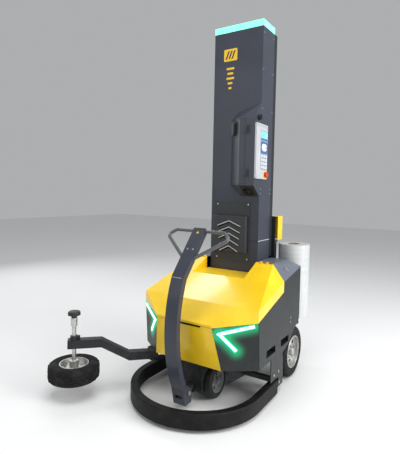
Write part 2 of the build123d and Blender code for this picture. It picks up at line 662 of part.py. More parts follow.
# ---------------------------------------------------------------- feeler

def feeler_frame():
    """Local frame of the arm: x runs from the pivot to the wheel."""
    return Location((*FEELER_PIVOT, 0), (0, 0, FEELER_AIM))


def feeler_bracket():
    """Fork bracket under the body's left corner that holds the arm's pivot pin."""
    x, y = FEELER_PIVOT
    top = ARM_Z + ARM_S
    plate = flat_plate([(x - 52, y + 4), (x - 8, y - 44), (x + 44, y - 30), (x + 90, y + 66), (x - 30, y + 66)],
                       top + GAP, top + GAP + 5)
    riser = block(x + 6, x + 56, y + 40, y + 66, top + GAP + 5, FRAME_Z)
    low = flat_plate([(x - 30, y + 8), (x - 4, y - 30), (x + 30, y - 24), (x + 62, y + 66), (x + 6, y + 66)],
                     ARM_Z - GAP - 8, ARM_Z - GAP)
    back = block(x + 30, x + 52, y + 54, y + 66, ARM_Z - GAP - 8, top + GAP + 5)
    pin = bar(12, (x, y, ARM_Z - GAP - 16), (x, y, top + GAP + 5))
    return plate + riser + low + back + pin


def feeler_arm():
    """Square tube arm: level root, rising run, level tip with the rod's socket."""
    low, high, tip = ARM_RUNS
    z0 = ARM_Z
    s = ARM_S
    rise = ARM_RISE
    end = tip + 36
    outline = [(-26, z0), (low, z0), (high, z0 + rise), (end, z0 + rise), (end, z0 + rise + s),
               (high, z0 + rise + s), (low, z0 + s), (-26, z0 + s)]
    arm = slab([(u, -s / 2, z) for u, z in outline], (0, s, 0))
    arm -= bar(12 + RUN, (0, 0, z0 - 5), (0, 0, z0 + s + 5))
    arm -= bar(ROD_R + RUN, (tip, 0, z0 + rise - 5), (tip, 0, z0 + rise + s + 5))
    return feeler_frame() * arm


def arm_tip():
    return ARM_RUNS[2], ARM_Z + ARM_RISE + ARM_S


def rod_clamp():
    """Clamp collar on the arm's tip."""
    u, z = arm_tip()
    collar = ring(22, ROD_R + RUN, (u, 0, z), (u, 0, z + 22))
    collar += block(u - 34, u - 18, -8, 8, z, z + 22)
    return feeler_frame() * collar


def feeler_rod():
    """Vertical rod that carries the wheel, with its stop sleeve."""
    u, z = arm_tip()
    foot = TYRE_Z + 12
    rod = bar(ROD_R, (u, 0, foot), (u, 0, z + 130))
    rod += bar(19, (u, 0, z + 84), (u, 0, z + 128))
    rod += bar(26, (u, 0, TYRE_Z + TYRE_W + 2), (u, 0, TYRE_Z + TYRE_W + 10))
    return feeler_frame() * rod


def feeler_knob():
    """Mushroom knob on the rod's top."""
    u, z = arm_tip()
    stem = bar(16, (u, 0, z + 130), (u, 0, z + 148))
    cap = bar(36, (u, 0, z + 146), (u, 0, z + 168))
    cap = fillet(cap.edges().group_by(Axis.Z)[-1], 10)
    return feeler_frame() * (stem + cap)


FEELER_RIM_R = 84


def feeler_tyre():
    """Flat-lying tyre of the feeler wheel."""
    u = ARM_RUNS[2]
    tyre = bar(TYRE_R, (u, 0, TYRE_Z), (u, 0, TYRE_Z + TYRE_W))
    tyre = fillet(tyre.edges().filter_by(GeomType.CIRCLE), 30)
    return feeler_frame() * (tyre - bar(FEELER_RIM_R, (u, 0, 0), (u, 0, 300)))


def feeler_rim():
    """Rim with a sunken disc and the bearing hub on the rod."""
    u = ARM_RUNS[2]
    z0, z1 = TYRE_Z + 6, TYRE_Z + TYRE_W - 6
    rim = ring(FEELER_RIM_R, FEELER_RIM_R - 5, (u, 0, z0), (u, 0, z1))
    rim += bar(FEELER_RIM_R - 4, (u, 0, z1 - 34), (u, 0, z1 - 29))
    rim += bar(26, (u, 0, z0 + 4), (u, 0, TYRE_Z + TYRE_W + GAP))
    for k in range(5):
        turn = math.radians(72 * k)
        rim -= bar(11, (u + 56 * math.cos(turn), 56 * math.sin(turn), 0),
                   (u + 56 * math.cos(turn), 56 * math.sin(turn), 300))
    return feeler_frame() * (rim - bar(ROD_R + RUN, (u, 0, 0), (u, 0, 300)))


# ---------------------------------------------------------------- mast

MX0, MX1 = MAST_X - MAST_W / 2, MAST_X + MAST_W / 2


def mast_shell(z0, z1):
    """Folded column shell, open at the rear between its return flanges."""
    t = MAST_WALL
    shell = block(MX0, MX1, 0, MAST_D, z0, z1)
    shell -= block(MX0 + t, MX1 - t, t, MAST_D - t, z0 - 1, z1 + 1)
    return shell - block(MX0 + 70, MX1 - 70, MAST_D - 2 * t, MAST_D + t, z0 - 1, z1 + 1)


def mast_column():
    shell = mast_shell(MAST_SEAM_Z + 1, MAST_TOP)
    return shell + block(MX0, MX1, 0, MAST_D, MAST_TOP - MAST_WALL, MAST_TOP)


def mast_foot():
    shell = mast_shell(MAST_Z, MAST_SEAM_Z + 1)
    t = MAST_WALL
    for x0, x1 in ((MX0 + t, MX0 + 60), (MX1 - 60, MX1 - t)):
        shell += block(x0, x1, t, MAST_D - t, MAST_Z, MAST_Z + 8)
    return shell


def mast_light():
    """Light cap: a translucent ring with a roof, on the mast's top."""
    cap = block(MX0, MX1, 0, MAST_D, MAST_TOP, MAST_TOP + LIGHT_H)
    return cap - block(MX0 + 5, MX1 - 5, 5, MAST_D - 5, MAST_TOP - 1, MAST_TOP + LIGHT_H - 5)


def guide_rails():
    """Two lift rails on the mast's rear flanges."""
    out = []
    for x0 in (MX0, MX1 - RAIL_W):
        rail = block(x0, x0 + RAIL_W, MAST_D, MAST_D + RAIL_D, 780, MAST_TOP)
        rail -= block(x0 + 7, x0 + RAIL_W - 7, MAST_D + 15, MAST_D + RAIL_D + 1, 779, MAST_TOP + 1)
        out.append(rail)
    return out


PULLEY_R = 30
PULLEY_Y = MAST_D - 62


def lift_pulleys():
    """Upper pulley and its bracket under the column's top."""
    z = MAST_TOP - 90
    wheel = ring(PULLEY_R, 8, (MAST_X - 16, PULLEY_Y, z), (MAST_X + 16, PULLEY_Y, z))
    axle = bar(8, (MAST_X - 40, PULLEY_Y, z), (MAST_X + 40, PULLEY_Y, z))
    cheeks = block(MAST_X - 40, MAST_X - 34, PULLEY_Y - 20, PULLEY_Y + 20, z - 20, MAST_TOP - MAST_WALL)
    cheeks += block(MAST_X + 34, MAST_X + 40, PULLEY_Y - 20, PULLEY_Y + 20, z - 20, MAST_TOP - MAST_WALL)
    return wheel + axle + cheeks


LIFT_MOTOR_Z = MAST_Z + 110


def lift_motor():
    """Lift gearmotor in the mast's foot with its drive pulley."""
    z = LIFT_MOTOR_Z
    box = block(MAST_X - 110, MAST_X - 24, PULLEY_Y - 45, PULLEY_Y + 40, MAST_Z, z + 50)
    motor = bar(38, (MAST_X - 67, PULLEY_Y, z + 50), (MAST_X - 67, PULLEY_Y, z + 210))
    return box + motor + bar(PULLEY_R, (MAST_X - 24, PULLEY_Y, z), (MAST_X + 16, PULLEY_Y, z))


def lift_belt():
    """Toothed lift belt round the two pulleys."""
    x0, x1 = MAST_X - 12, MAST_X + 12
    z0, z1 = LIFT_MOTOR_Z, MAST_TOP - 90
    r = PULLEY_R + 3
    loop = bar(r, (x0, PULLEY_Y, z0), (x1, PULLEY_Y, z0)) + bar(r, (x0, PULLEY_Y, z1), (x1, PULLEY_Y, z1))
    loop += block(x0, x1, PULLEY_Y - r, PULLEY_Y + r, z0, z1)
    loop -= bar(PULLEY_R, (x0 - 1, PULLEY_Y, z0), (x1 + 1, PULLEY_Y, z0))
    loop -= bar(PULLEY_R, (x0 - 1, PULLEY_Y, z1), (x1 + 1, PULLEY_Y, z1))
    return loop - block(x0 - 1, x1 + 1, PULLEY_Y - PULLEY_R, PULLEY_Y + PULLEY_R, z0, z1)


VENT_X0, VENT_X1, VENT_Z0, VENT_Z1, VENT_D = -158, 92, 815, 1058, 28


def vent_cover():
    """Raised cover on the mast's front with five chevron louvres."""
    plate = block(VENT_X0 - 4, VENT_X1 + 16, -SHEET, 0, VENT_Z0 - 60, VENT_Z1 + 95)
    box = block(VENT_X0, VENT_X1, -VENT_D, -SHEET, VENT_Z0, VENT_Z1)
    box = chamfer(box.faces().sort_by(Axis.Y)[0].edges(), 4)
    box -= block(VENT_X0 + SHEET, VENT_X1 - SHEET, -VENT_D + SHEET, 1, VENT_Z0 + SHEET, VENT_Z1 - SHEET)
    middle = (VENT_X0 + VENT_X1) / 2
    for k in range(5):
        peak = VENT_Z1 - 34 - 42 * k
        half = 84 - 5 * k
        chevron = [(middle, peak), (middle + half, peak - 34), (middle + half, peak - 46),
                   (middle, peak - 12), (middle - half, peak - 46), (middle - half, peak - 34)]
        box -= slab([(x, -VENT_D - 5, z) for x, z in chevron], (0, 12, 0))
    return plate + box


# ---------------------------------------------------------------- control box

def box_outline(inset=0):
    """Plan outline of the control box on the mast's front."""
    return [(BOX_ROOT_X + inset * 1.6, 0), (BOX_X0 + inset * 0.6, -BOX_D + inset), (BOX_X1 - inset, -BOX_D + inset),
            (BOX_X1 - inset, 0)]


def beyond(a, b, c, inset, up):
    """Everything outside the plane through three points, moved in by the inset."""
    normal = (Vector(*b) - Vector(*a)).cross(Vector(*c) - Vector(*a)).normalized()
    if normal.Z * up < 0:
        normal = normal * -1
    outside = Box(900, 900, 300, align=(Align.CENTER, Align.CENTER, Align.MIN))
    return Plane(origin=Vector(*a) - normal * inset, z_dir=normal) * outside


def box_body(inset=0):
    """Box with a hipped, sloping roof and a sloping sole."""
    body = flat_plate(box_outline(inset), BOX_SOLE_Z, BOX_ROOF_Z)
    corner, front = (BOX_X0, -BOX_D, BOX_Z1), (BOX_X1, -BOX_D, BOX_Z1)
    peak, hip, eave = (BOX_X1, 0, BOX_ROOF_Z), (BOX_HIP_X, 0, BOX_HIP_Z), (BOX_ROOT_X, 0, BOX_EAVE_Z)
    for facet in ((corner, front, peak), (corner, peak, hip), (corner, hip, eave)):
        body -= beyond(*facet, inset, 1)
    corner, front = (BOX_X0, -BOX_D, BOX_Z0), (BOX_X1, -BOX_D, BOX_Z0)
    heel, root = (BOX_HEEL_X, 0, BOX_SOLE_Z), (BOX_ROOT_X, 0, BOX_Z0)
    for facet in ((corner, front, heel), (corner, heel, root)):
        body -= beyond(*facet, inset, -1)
    return body


DOOR_Z0, DOOR_Z1 = BOX_Z0 + 8, BOX_Z1 - 8
DOOR_HINGES = (1616, 1340)
HINGE_Y = -BOX_D - 5


def door_zone(grow=0):
    """Space taken by the door: the slanted face and the front up to the hinge."""
    return flat_plate([(BOX_ROOT_X + 14 - grow, -8 + grow), (BOX_ROOT_X - 30 - grow, -8 + grow), (20, -BOX_D - 30),
                       (HINGE_X - 6 + grow, -BOX_D - 30), (HINGE_X - 6 + grow, -BOX_D + 12 + grow),
                       (BOX_X0 + 12, -BOX_D + 12 + grow)], DOOR_Z0 - grow, DOOR_Z1 + grow)


def control_box():
    """Control cabinet: shell with the door's opening and the fan's opening."""
    shell = box_body() - box_body(SHEET)
    shell += block(BOX_ROOT_X + 8, BOX_X1 - 2, -SHEET, 0, BOX_SOLE_Z + 10, BOX_ROOF_Z - 10) & box_body()
    shell -= door_zone(GAP * 1.5)
    shell -= bar(SWITCH_STEM_R + RUN, (BOX_X1 - 20, SWITCH_Y, SWITCH_Z), (BOX_X1 + 5, SWITCH_Y, SWITCH_Z))
    fan = Plane(origin=(fan_centre()), x_dir=(1, 0, 0), z_dir=fan_normal())
    return shell - fan * Box(84, 84, 30)


def fan_normal():
    run, drop = BOX_D, BOX_Z0 - BOX_SOLE_Z
    reach = math.hypot(run, drop)
    return (0, -drop / reach, -run / reach)


def fan_centre():
    return ((BOX_X0 + BOX_X1) / 2, -BOX_D / 2, (BOX_Z0 + BOX_SOLE_Z) / 2)


def fan_grille():
    """Fan guard on the sloping sole: frame, rings and the fan's hub."""
    frame = Box(92, 92, 4) - Cylinder(40, 6)
    guard = frame + Box(84, 4, 3) + Box(4, 84, 3) + Cylinder(12, 4)
    for radius in (20, 28, 36):
        guard += Cylinder(radius + 1.2, 3) - Cylinder(radius - 1.2, 4)
    return Plane(origin=fan_centre(), x_dir=(1, 0, 0), z_dir=fan_normal()) * Pos(0, 0, 2.01) * guard


def control_door():
    """Door leaf: slanted face and front strip, bent from one sheet, with its hinge knuckles."""
    leaf = (box_body() - box_body(SHEET)) & door_zone()
    for z in DOOR_HINGES:
        leaf += block(HINGE_X - 26, HINGE_X - 7, HINGE_Y + 2, -BOX_D, z - 24, z + 24)
        leaf += block(HINGE_X - 8, HINGE_X, HINGE_Y - 1.5, HINGE_Y + 3, z + GAP, z + 24)
        leaf += bar(5, (HINGE_X, HINGE_Y, z + GAP), (HINGE_X, HINGE_Y, z + 24))
        leaf -= bar(2 + RUN, (HINGE_X, HINGE_Y, z), (HINGE_X, HINGE_Y, z + 25))
    return leaf - handle_plane() * Cylinder(6 + RUN, 30)


def box_hinges():
    """Fixed hinge leaves with their pins."""
    out = []
    for z in DOOR_HINGES:
        leaf = block(HINGE_X + 7, HINGE_X + 26, HINGE_Y + 2, -BOX_D, z - 24, z + 24)
        leaf += block(HINGE_X, HINGE_X + 8, HINGE_Y - 1.5, HINGE_Y + 3, z - 24, z)
        leaf += bar(5, (HINGE_X, HINGE_Y, z - 24), (HINGE_X, HINGE_Y, z))
        out.append(leaf + bar(2, (HINGE_X, HINGE_Y, z - 10), (HINGE_X, HINGE_Y, z + 24)))
    return out


def handle_plane():
    """Plane of the slanted face at the handle."""
    way = Vector(BOX_X0 - BOX_ROOT_X, -BOX_D, 0).normalized()
    normal = Vector(way.Y, -way.X, 0)
    if normal.Y > 0:
        normal = normal * -1
    middle = Vector(BOX_ROOT_X, 0, HANDLE_Z) + way * HANDLE_REACH
    return Plane(origin=middle, x_dir=(0, 0, 1), z_dir=normal)


def door_handle():
    """Long oval swing handle on a short spindle."""
    grip = extrude(SlotOverall(92, 42), amount=20)
    grip = fillet(grip.edges().group_by(Axis.Z)[-1], 7)
    grip = Pos(0, 0, GAP) * grip
    spindle = Pos(0, 0, -6) * Cylinder(6, 16)
    cam = Pos(0, 9, -12) * Box(12, 30, 4)
    return handle_plane() * (grip + spindle + cam)


PANEL_Y0, PANEL_Y1, PANEL_Z0, PANEL_Z1, PANEL_T = -88, 84, 1305, 1655, 12


def operator_panel():
    """Light housing of the operator's controls, on the right of the mast and the box."""
    x = MX1
    body = block(x, x + PANEL_T, PANEL_Y0, PANEL_Y1, PANEL_Z0, PANEL_Z1)
    body = fillet(body.edges().filter_by(Axis.X), 10)
    lip = bar(7, (x + PANEL_T - 2, PANEL_Y0 + 10, PANEL_Z1 - 6), (x + PANEL_T - 2, PANEL_Y1 - 10, PANEL_Z1 - 6))
    body += lip
    body -= block(x + PANEL_T - 2, x + PANEL_T + 1, *SCREEN_YZ[:2], *SCREEN_YZ[2:])
    body -= block(x + PANEL_T - 1, x + PANEL_T + 1, *KEYS_YZ[:2], *KEYS_YZ[2:])
    return body - bar(8 + RUN, (x + 2, ESTOP_Y, ESTOP_Z), (x + 40, ESTOP_Y, ESTOP_Z))


SCREEN_YZ = (-20, 76, 1566, 1612)
KEYS_YZ = (-22, 78, 1364, 1548)
ESTOP_Y, ESTOP_Z = 52, 1334


def display_screen():
    x = MX1 + PANEL_T
    y0, y1, z0, z1 = SCREEN_YZ
    return block(x - 2, x + 1, y0, y1, z0, z1)


def keypad():
    """Membrane keypad: oval pad above twelve raised keys."""
    x = MX1 + PANEL_T
    y0, y1, z0, z1 = KEYS_YZ
    pad = block(x - 1, x + 0.6, y0, y1, z0, z1)
    middle = (y0 + y1) / 2
    oval = Pos(0, 0) * SlotOverall(74, 46)
    pad += Plane(origin=(x, middle, z1 - 42), x_dir=(0, 1, 0), z_dir=(1, 0, 0)) * extrude(oval, amount=2.4)
    for row in range(4):
        for column in range(3):
            y = middle - 32 + 32 * column
            z = z0 + 16 + 24 * row
            pad += block(x, x + 2, y - 12, y + 12, z - 8, z + 8)
    return pad


def estop_plate():
    """Yellow ring round the emergency stop."""
    x = MX1 + PANEL_T
    return ring(28, 17, (x, ESTOP_Y, ESTOP_Z), (x + 2, ESTOP_Y, ESTOP_Z))


def estop_button():
    """Red mushroom head on its stem, 4 mm above the ring."""
    x = MX1 + PANEL_T
    head = bar(19, (x + 7, ESTOP_Y, ESTOP_Z), (x + 19, ESTOP_Y, ESTOP_Z))
    head = fillet(head.edges().group_by(Axis.X)[-1], 6)
    return head + bar(8, (x - 4, ESTOP_Y, ESTOP_Z), (x + 8, ESTOP_Y, ESTOP_Z))


SWITCH_Y, SWITCH_Z, SWITCH_STEM_R = -38, 1694, 5


def main_switch():
    """Rotary main switch on the box's side, with a grip bar."""
    x = BOX_X1
    knob = bar(17, (x + GAP, SWITCH_Y, SWITCH_Z), (x + 12, SWITCH_Y, SWITCH_Z))
    knob += block(x + 10, x + 24, SWITCH_Y - 6, SWITCH_Y + 6, SWITCH_Z - 16, SWITCH_Z + 16)
    return knob + bar(SWITCH_STEM_R, (x - 14, SWITCH_Y, SWITCH_Z), (x + 4, SWITCH_Y, SWITCH_Z))


# ---------------------------------------------------------------- film carriage

def carriage_frame():
    """Carriage: back plate with rail shoes, base plate and side column."""
    z0, z1 = ROLL_Z - 22, COVER_Z1
    frame = block(CAR_X0, CAR_X1, CAR_Y0, CAR_Y0 + 8, z0, z1)
    inner0, inner1 = MX0 + RAIL_W + FIT_PLAY, MX1 - RAIL_W - FIT_PLAY
    for z in (800, 980):
        frame += block(inner0, inner0 + 30, MAST_D + 8, CAR_Y0, z, z + 60)
        frame += block(inner1 - 30, inner1, MAST_D + 8, CAR_Y0, z, z + 60)
    frame += flat_plate([(CAR_X0, CAR_Y0), (CAR_X1 + 15, CAR_Y0), (ROLL[0] + 60, CAR_Y0 + 70),
                         (ROLL[0] + 60, ROLL[1] + 60), (ROLL[0] - 70, ROLL[1] + 60), (CAR_X0, 365)], z0, z0 + 8)
    frame += block(150, CAR_X1, CAR_Y0 + 8, CAR_Y0 + 36, z0 + 8, COVER_Z0)
    frame += block(CAR_X0, 160, CAR_Y0 + 8, 365, COVER_Z0 - 24, COVER_Z0 - 16)
    for x, y in (*STRETCH, DANCER_PIVOT):
        frame += bar(CAR_PIN_R, (x, y, z0 + 8), (x, y, POST_Z0 + CAR_PIN_L))
        frame += bar(CAR_PIN_R, (x, y, POST_Z1 - CAR_PIN_L), (x, y, COVER_Z0 - 24))
    frame += bar(12, (*ROLL, z0 + 8), (*ROLL, ROLL_Z - 1))
    return frame


def carriage_cover():
    """Yellow cover over the pre-stretch drive."""
    y0 = CAR_Y0 + 8
    cover = block(CAR_X0 + 4, COVER_X1, y0, COVER_Y1, COVER_Z0, COVER_Z1)
    cover = chamfer(cover.edges().filter_by(Axis.Z).sort_by(Axis.Y)[-2:], 20)
    inside = block(CAR_X0 + 4 + SHEET, COVER_X1 - SHEET, y0 - 1, COVER_Y1 - SHEET, COVER_Z0 - 1, COVER_Z1 - SHEET)
    return cover - inside


def film_spindle():
    """Spindle: disc under the roll and mandrel in its core."""
    x, y = ROLL
    disc = bar(86, (x, y, ROLL_Z - 9), (x, y, ROLL_Z))
    mandrel = bar(CORE_R - 4, (x, y, ROLL_Z), (x, y, ROLL_Z + 120))
    return disc + mandrel - bar(12 + RUN, (x, y, ROLL_Z - 30), (x, y, ROLL_Z + 2))


def film_core():
    x, y = ROLL
    return ring(CORE_R + 4, CORE_R - 4, (x, y, ROLL_Z), (x, y, ROLL_Z + FILM_H + 2))


def film_roll():
    x, y = ROLL
    return ring(ROLL_R, CORE_R + 4, (x, y, ROLL_Z), (x, y, ROLL_Z + FILM_H))


def stretch_roller(k):
    """Rubber-faced pre-stretch roller with its gear on top."""
    x, y = STRETCH[k]
    body = bar(STRETCH_R, (x, y, POST_Z0 + 6), (x, y, POST_Z1 - 30))
    body += bar(STRETCH_GEARS[k] - 0.4, (x, y, POST_Z1 - 22), (x, y, POST_Z1 - 4))
    return body + bar(14, (x, y, POST_Z0), (x, y, POST_Z1)) - post_bores(x, y)


def post_bores(x, y):
    """Bearing bores for the carriage's pins at both ends of a post."""
    radius, deep = CAR_PIN_R + RUN, CAR_PIN_L + 2
    return bar(radius, (x, y, POST_Z0 - 1), (x, y, POST_Z0 + deep)) + bar(radius, (x, y, POST_Z1 - deep),
                                                                         (x, y, POST_Z1 + 1))


def dancer_arm():
    """Dancer arm: two levers on a post, with the guide roller's pin between them."""
    x, y = DANCER_PIVOT
    post = bar(13, (x, y, POST_Z0), (x, y, POST_Z1))
    far = y + DANCER_REACH
    for z in (POST_Z0 + 4, POST_Z1 - 14):
        post += block(x - 11, x + 11, y, far, z, z + 10) + bar(11, (x, far, z), (x, far, z + 10))
    return post + bar(5, (x, far, POST_Z0 + 8), (x, far, POST_Z1 - 8)) - post_bores(x, y)


def dancer_roller():
    x, y = DANCER_PIVOT
    far = y + DANCER_REACH
    return ring(19, 5 + RUN, (x, far, POST_Z0 + 16), (x, far, POST_Z1 - 16))


# ---------------------------------------------------------------- fasteners

def screw_head(radius, at, way):
    way = Vector(*way).normalized()
    start = Vector(*at)
    return bar(radius, tuple(start), tuple(start + way * 3))


def panel_screws():
    """Button heads of the side, corner and front panels and of the brackets."""
    out = []
    for side in (1, -1):
        face = side * HALF
        for y, z in ((36, 429), (36, 400)):
            out.append(screw_head(5, (face, y, z), (side, 0, 0)))
        for y, z in ((-205, 140), (-135, 142), (-120, 70)):
            out.append(screw_head(8, (side * BRACKET_X1, y, z), (side, 0, 0)))
        top = NOSE_Z - LIP_H - SEAM
        lean = PANEL_FOOT_Y - NOSE_Y
        for share in (0.12, 0.9):
            x = NOSE_W / 2 - 12 + share * (PANEL_FOOT_W - NOSE_W) / 2
            y = NOSE_Y + share * lean
            z = top + share * (SKIRT_Z - top)
            out.append(screw_head(4.5, (side * x, y, z), (0, SKIRT_Z - top, -lean)))
    return out


def cover_screws():
    """Screws of the vent cover on the mast."""
    out = []
    for x in (VENT_X0 + 22, VENT_X1 + 2):
        for z in (VENT_Z0 - 42, VENT_Z1 + 78):
            out.append(screw_head(5, (x, -SHEET, z), (0, -1, 0)))
    return out


# ---------------------------------------------------------------- the set of nodes

def nodes():
    """Every named sub-part with its list of solids."""
    pieces = {
        "chassis_frame": chassis_frame() + mast_pedestal(), "belly_tray": belly_tray(),
        "batteries": batteries(), "drive_controller": drive_controller(), "gearmotors": gearmotors(),
        "front_panel": front_panel(), "rear_panel": rear_panel(), "hinges": hinge_pins() + box_hinges(),
        "slewing_ring": slewing_ring(), "feeler_bracket": feeler_bracket(),
        "mast_foot": mast_foot(), "mast_column": mast_column(), "mast_light": mast_light(),
        "guide_rails": guide_rails(), "lift_drive": [lift_motor(), lift_belt(), lift_pulleys()],
        "vent_cover": vent_cover(), "control_box": control_box(),
        "fan_grille": fan_grille(), "operator_panel": operator_panel(),
        "display_screen": display_screen(), "keypad": keypad(), "estop_plate": estop_plate(),
        "hood": hood(), "bumper_ring": bumper_ring(), "steering_fork": steering_fork(),
        "fork_pins": [front_axle(), tiller_pin()], "tiller_tube": tiller_tube(),
        "tiller_handle": tiller_handle(), "feeler_arm": [feeler_arm(), rod_clamp()],
        "feeler_rod": feeler_rod(), "feeler_knob": feeler_knob(), "feeler_tyre": feeler_tyre(),
        "feeler_rim": feeler_rim(), "control_door": control_door(), "door_handle": door_handle(),
        "estop_button": estop_button(), "main_switch": main_switch(),
        "carriage_frame": carriage_frame(), "carriage_cover": carriage_cover(),
        "film_spindle": film_spindle(), "film_roll": film_roll(), "film_core": film_core(),
        "dancer_arm": dancer_arm(), "dancer_roller": dancer_roller(),
        "stretch_roller_1": stretch_roller(0), "stretch_roller_2": stretch_roller(1),
    }
    pieces["shoulders"] = [shoulder(NOTCH_X1), other_side(shoulder(-NOTCH_X0))]
    for name, make in (("corner_panels", corner_panel), ("side_panels", side_panel),
                       ("arrow_lights", arrow_light), ("bumper_brackets", bumper_bracket)):
        pieces[name] = both_sides(make())
    pieces["bumper_brackets"] += both_sides(bumper_buffer())
    for name, make in (("rear_tyre", rear_tyre), ("rear_rim", rear_rim), ("cam_lock", cam_lock)):
        right = make()
        pieces[name + "_right"] = right
        pieces[name + "_left"] = other_side(right)
    pieces["front_wheel_right"] = [front_tyre(), front_hub()]
    pieces["front_wheel_left"] = [other_side(part) for part in pieces["front_wheel_right"]]
    pieces["screws"] = panel_screws() + cover_screws()
    return pieces


def solids_of(piece):
    return [s for item in (piece if isinstance(piece, list) else [piece]) for s in item.solids()]


os.makedirs("parts", exist_ok=True)
made = {name: Compound(solids_of(piece)) for name, piece in nodes().items()}
box = Compound([s for part in made.values() for s in part.solids()]).bounding_box()
home = Location((-(box.min.X + box.max.X) / 2, -(box.min.Y + box.max.Y) / 2, -box.min.Z))
print("origin shift", [round(v, 4) for v in tuple(home.position)])
for name, part in made.items():
    export_step(home * part, f"parts/{name}.step")
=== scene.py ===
import json
import math

import bmesh
import bpy
from mathutils import Matrix, Vector


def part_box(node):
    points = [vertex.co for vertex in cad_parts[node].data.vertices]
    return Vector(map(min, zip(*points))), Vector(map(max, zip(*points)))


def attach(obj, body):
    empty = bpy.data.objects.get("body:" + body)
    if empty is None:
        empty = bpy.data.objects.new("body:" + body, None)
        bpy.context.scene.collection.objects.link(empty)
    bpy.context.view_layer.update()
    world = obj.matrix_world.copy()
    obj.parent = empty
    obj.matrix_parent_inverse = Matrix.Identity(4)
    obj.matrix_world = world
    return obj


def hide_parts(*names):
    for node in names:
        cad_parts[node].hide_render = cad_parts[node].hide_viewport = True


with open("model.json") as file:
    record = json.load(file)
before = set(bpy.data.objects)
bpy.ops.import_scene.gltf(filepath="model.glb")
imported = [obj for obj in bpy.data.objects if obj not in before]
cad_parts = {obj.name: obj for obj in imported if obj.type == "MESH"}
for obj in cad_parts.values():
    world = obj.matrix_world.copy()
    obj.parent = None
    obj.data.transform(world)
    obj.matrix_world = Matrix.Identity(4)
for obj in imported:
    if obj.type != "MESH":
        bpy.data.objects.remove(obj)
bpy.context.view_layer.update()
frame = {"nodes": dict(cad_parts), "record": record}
nodes = frame["nodes"]

# The machine's own axes, in millimetres: x = 0 is the body's middle, y = 0 the mast's front face
# and z = 0 the floor. HOME is their origin in the row frame.
mast_low, mast_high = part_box("mast_column")
HOME = Vector((mast_high.x - 0.168, mast_low.y, 0))
LEFT, RIGHT, FRONT = Vector((-1, 0, 0)), Vector((1, 0, 0)), Vector((0, -1, 0))
BACK, UP = Vector((0, 1, 0)), Vector((0, 0, 1))


def at(x, y, z):
    """A point of the machine, in millimetres, as a place in the row frame."""
    return HOME + Vector((x, y, z)) / 1000


def middle(node):
    low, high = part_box(node)
    return (low + high) / 2


# ---------------------------------------------------------------- finishes


class Tone:
    """A value on its way through a finish: numbers and other tones combine with it."""

    def __init__(self, finish, socket):
        self.finish = finish
        self.socket = socket

    def _math(self, operation, a, b):
        return self.finish.node("ShaderNodeMath", {"operation": operation}, {0: a, 1: b})

    def __add__(self, other):
        return self._math("ADD", self, other)

    def __sub__(self, other):
        return self._math("SUBTRACT", self, other)

    def __mul__(self, other):
        return self._math("MULTIPLY", self, other)

    def __truediv__(self, other):
        return self._math("DIVIDE", self, other)

    def __rsub__(self, other):
        return self._math("SUBTRACT", other, self)

    def __pow__(self, other):
        return self._math("POWER", self, other)

    __radd__ = __add__
    __rmul__ = __mul__

    def clear_of(self, low, high):
        """0 below low, 1 above high and smooth between."""
        settings = {"interpolation_type": "SMOOTHSTEP"}
        return self.finish.node("ShaderNodeMapRange", settings, {0: self, 1: low, 2: high, 3: 0, 4: 1})


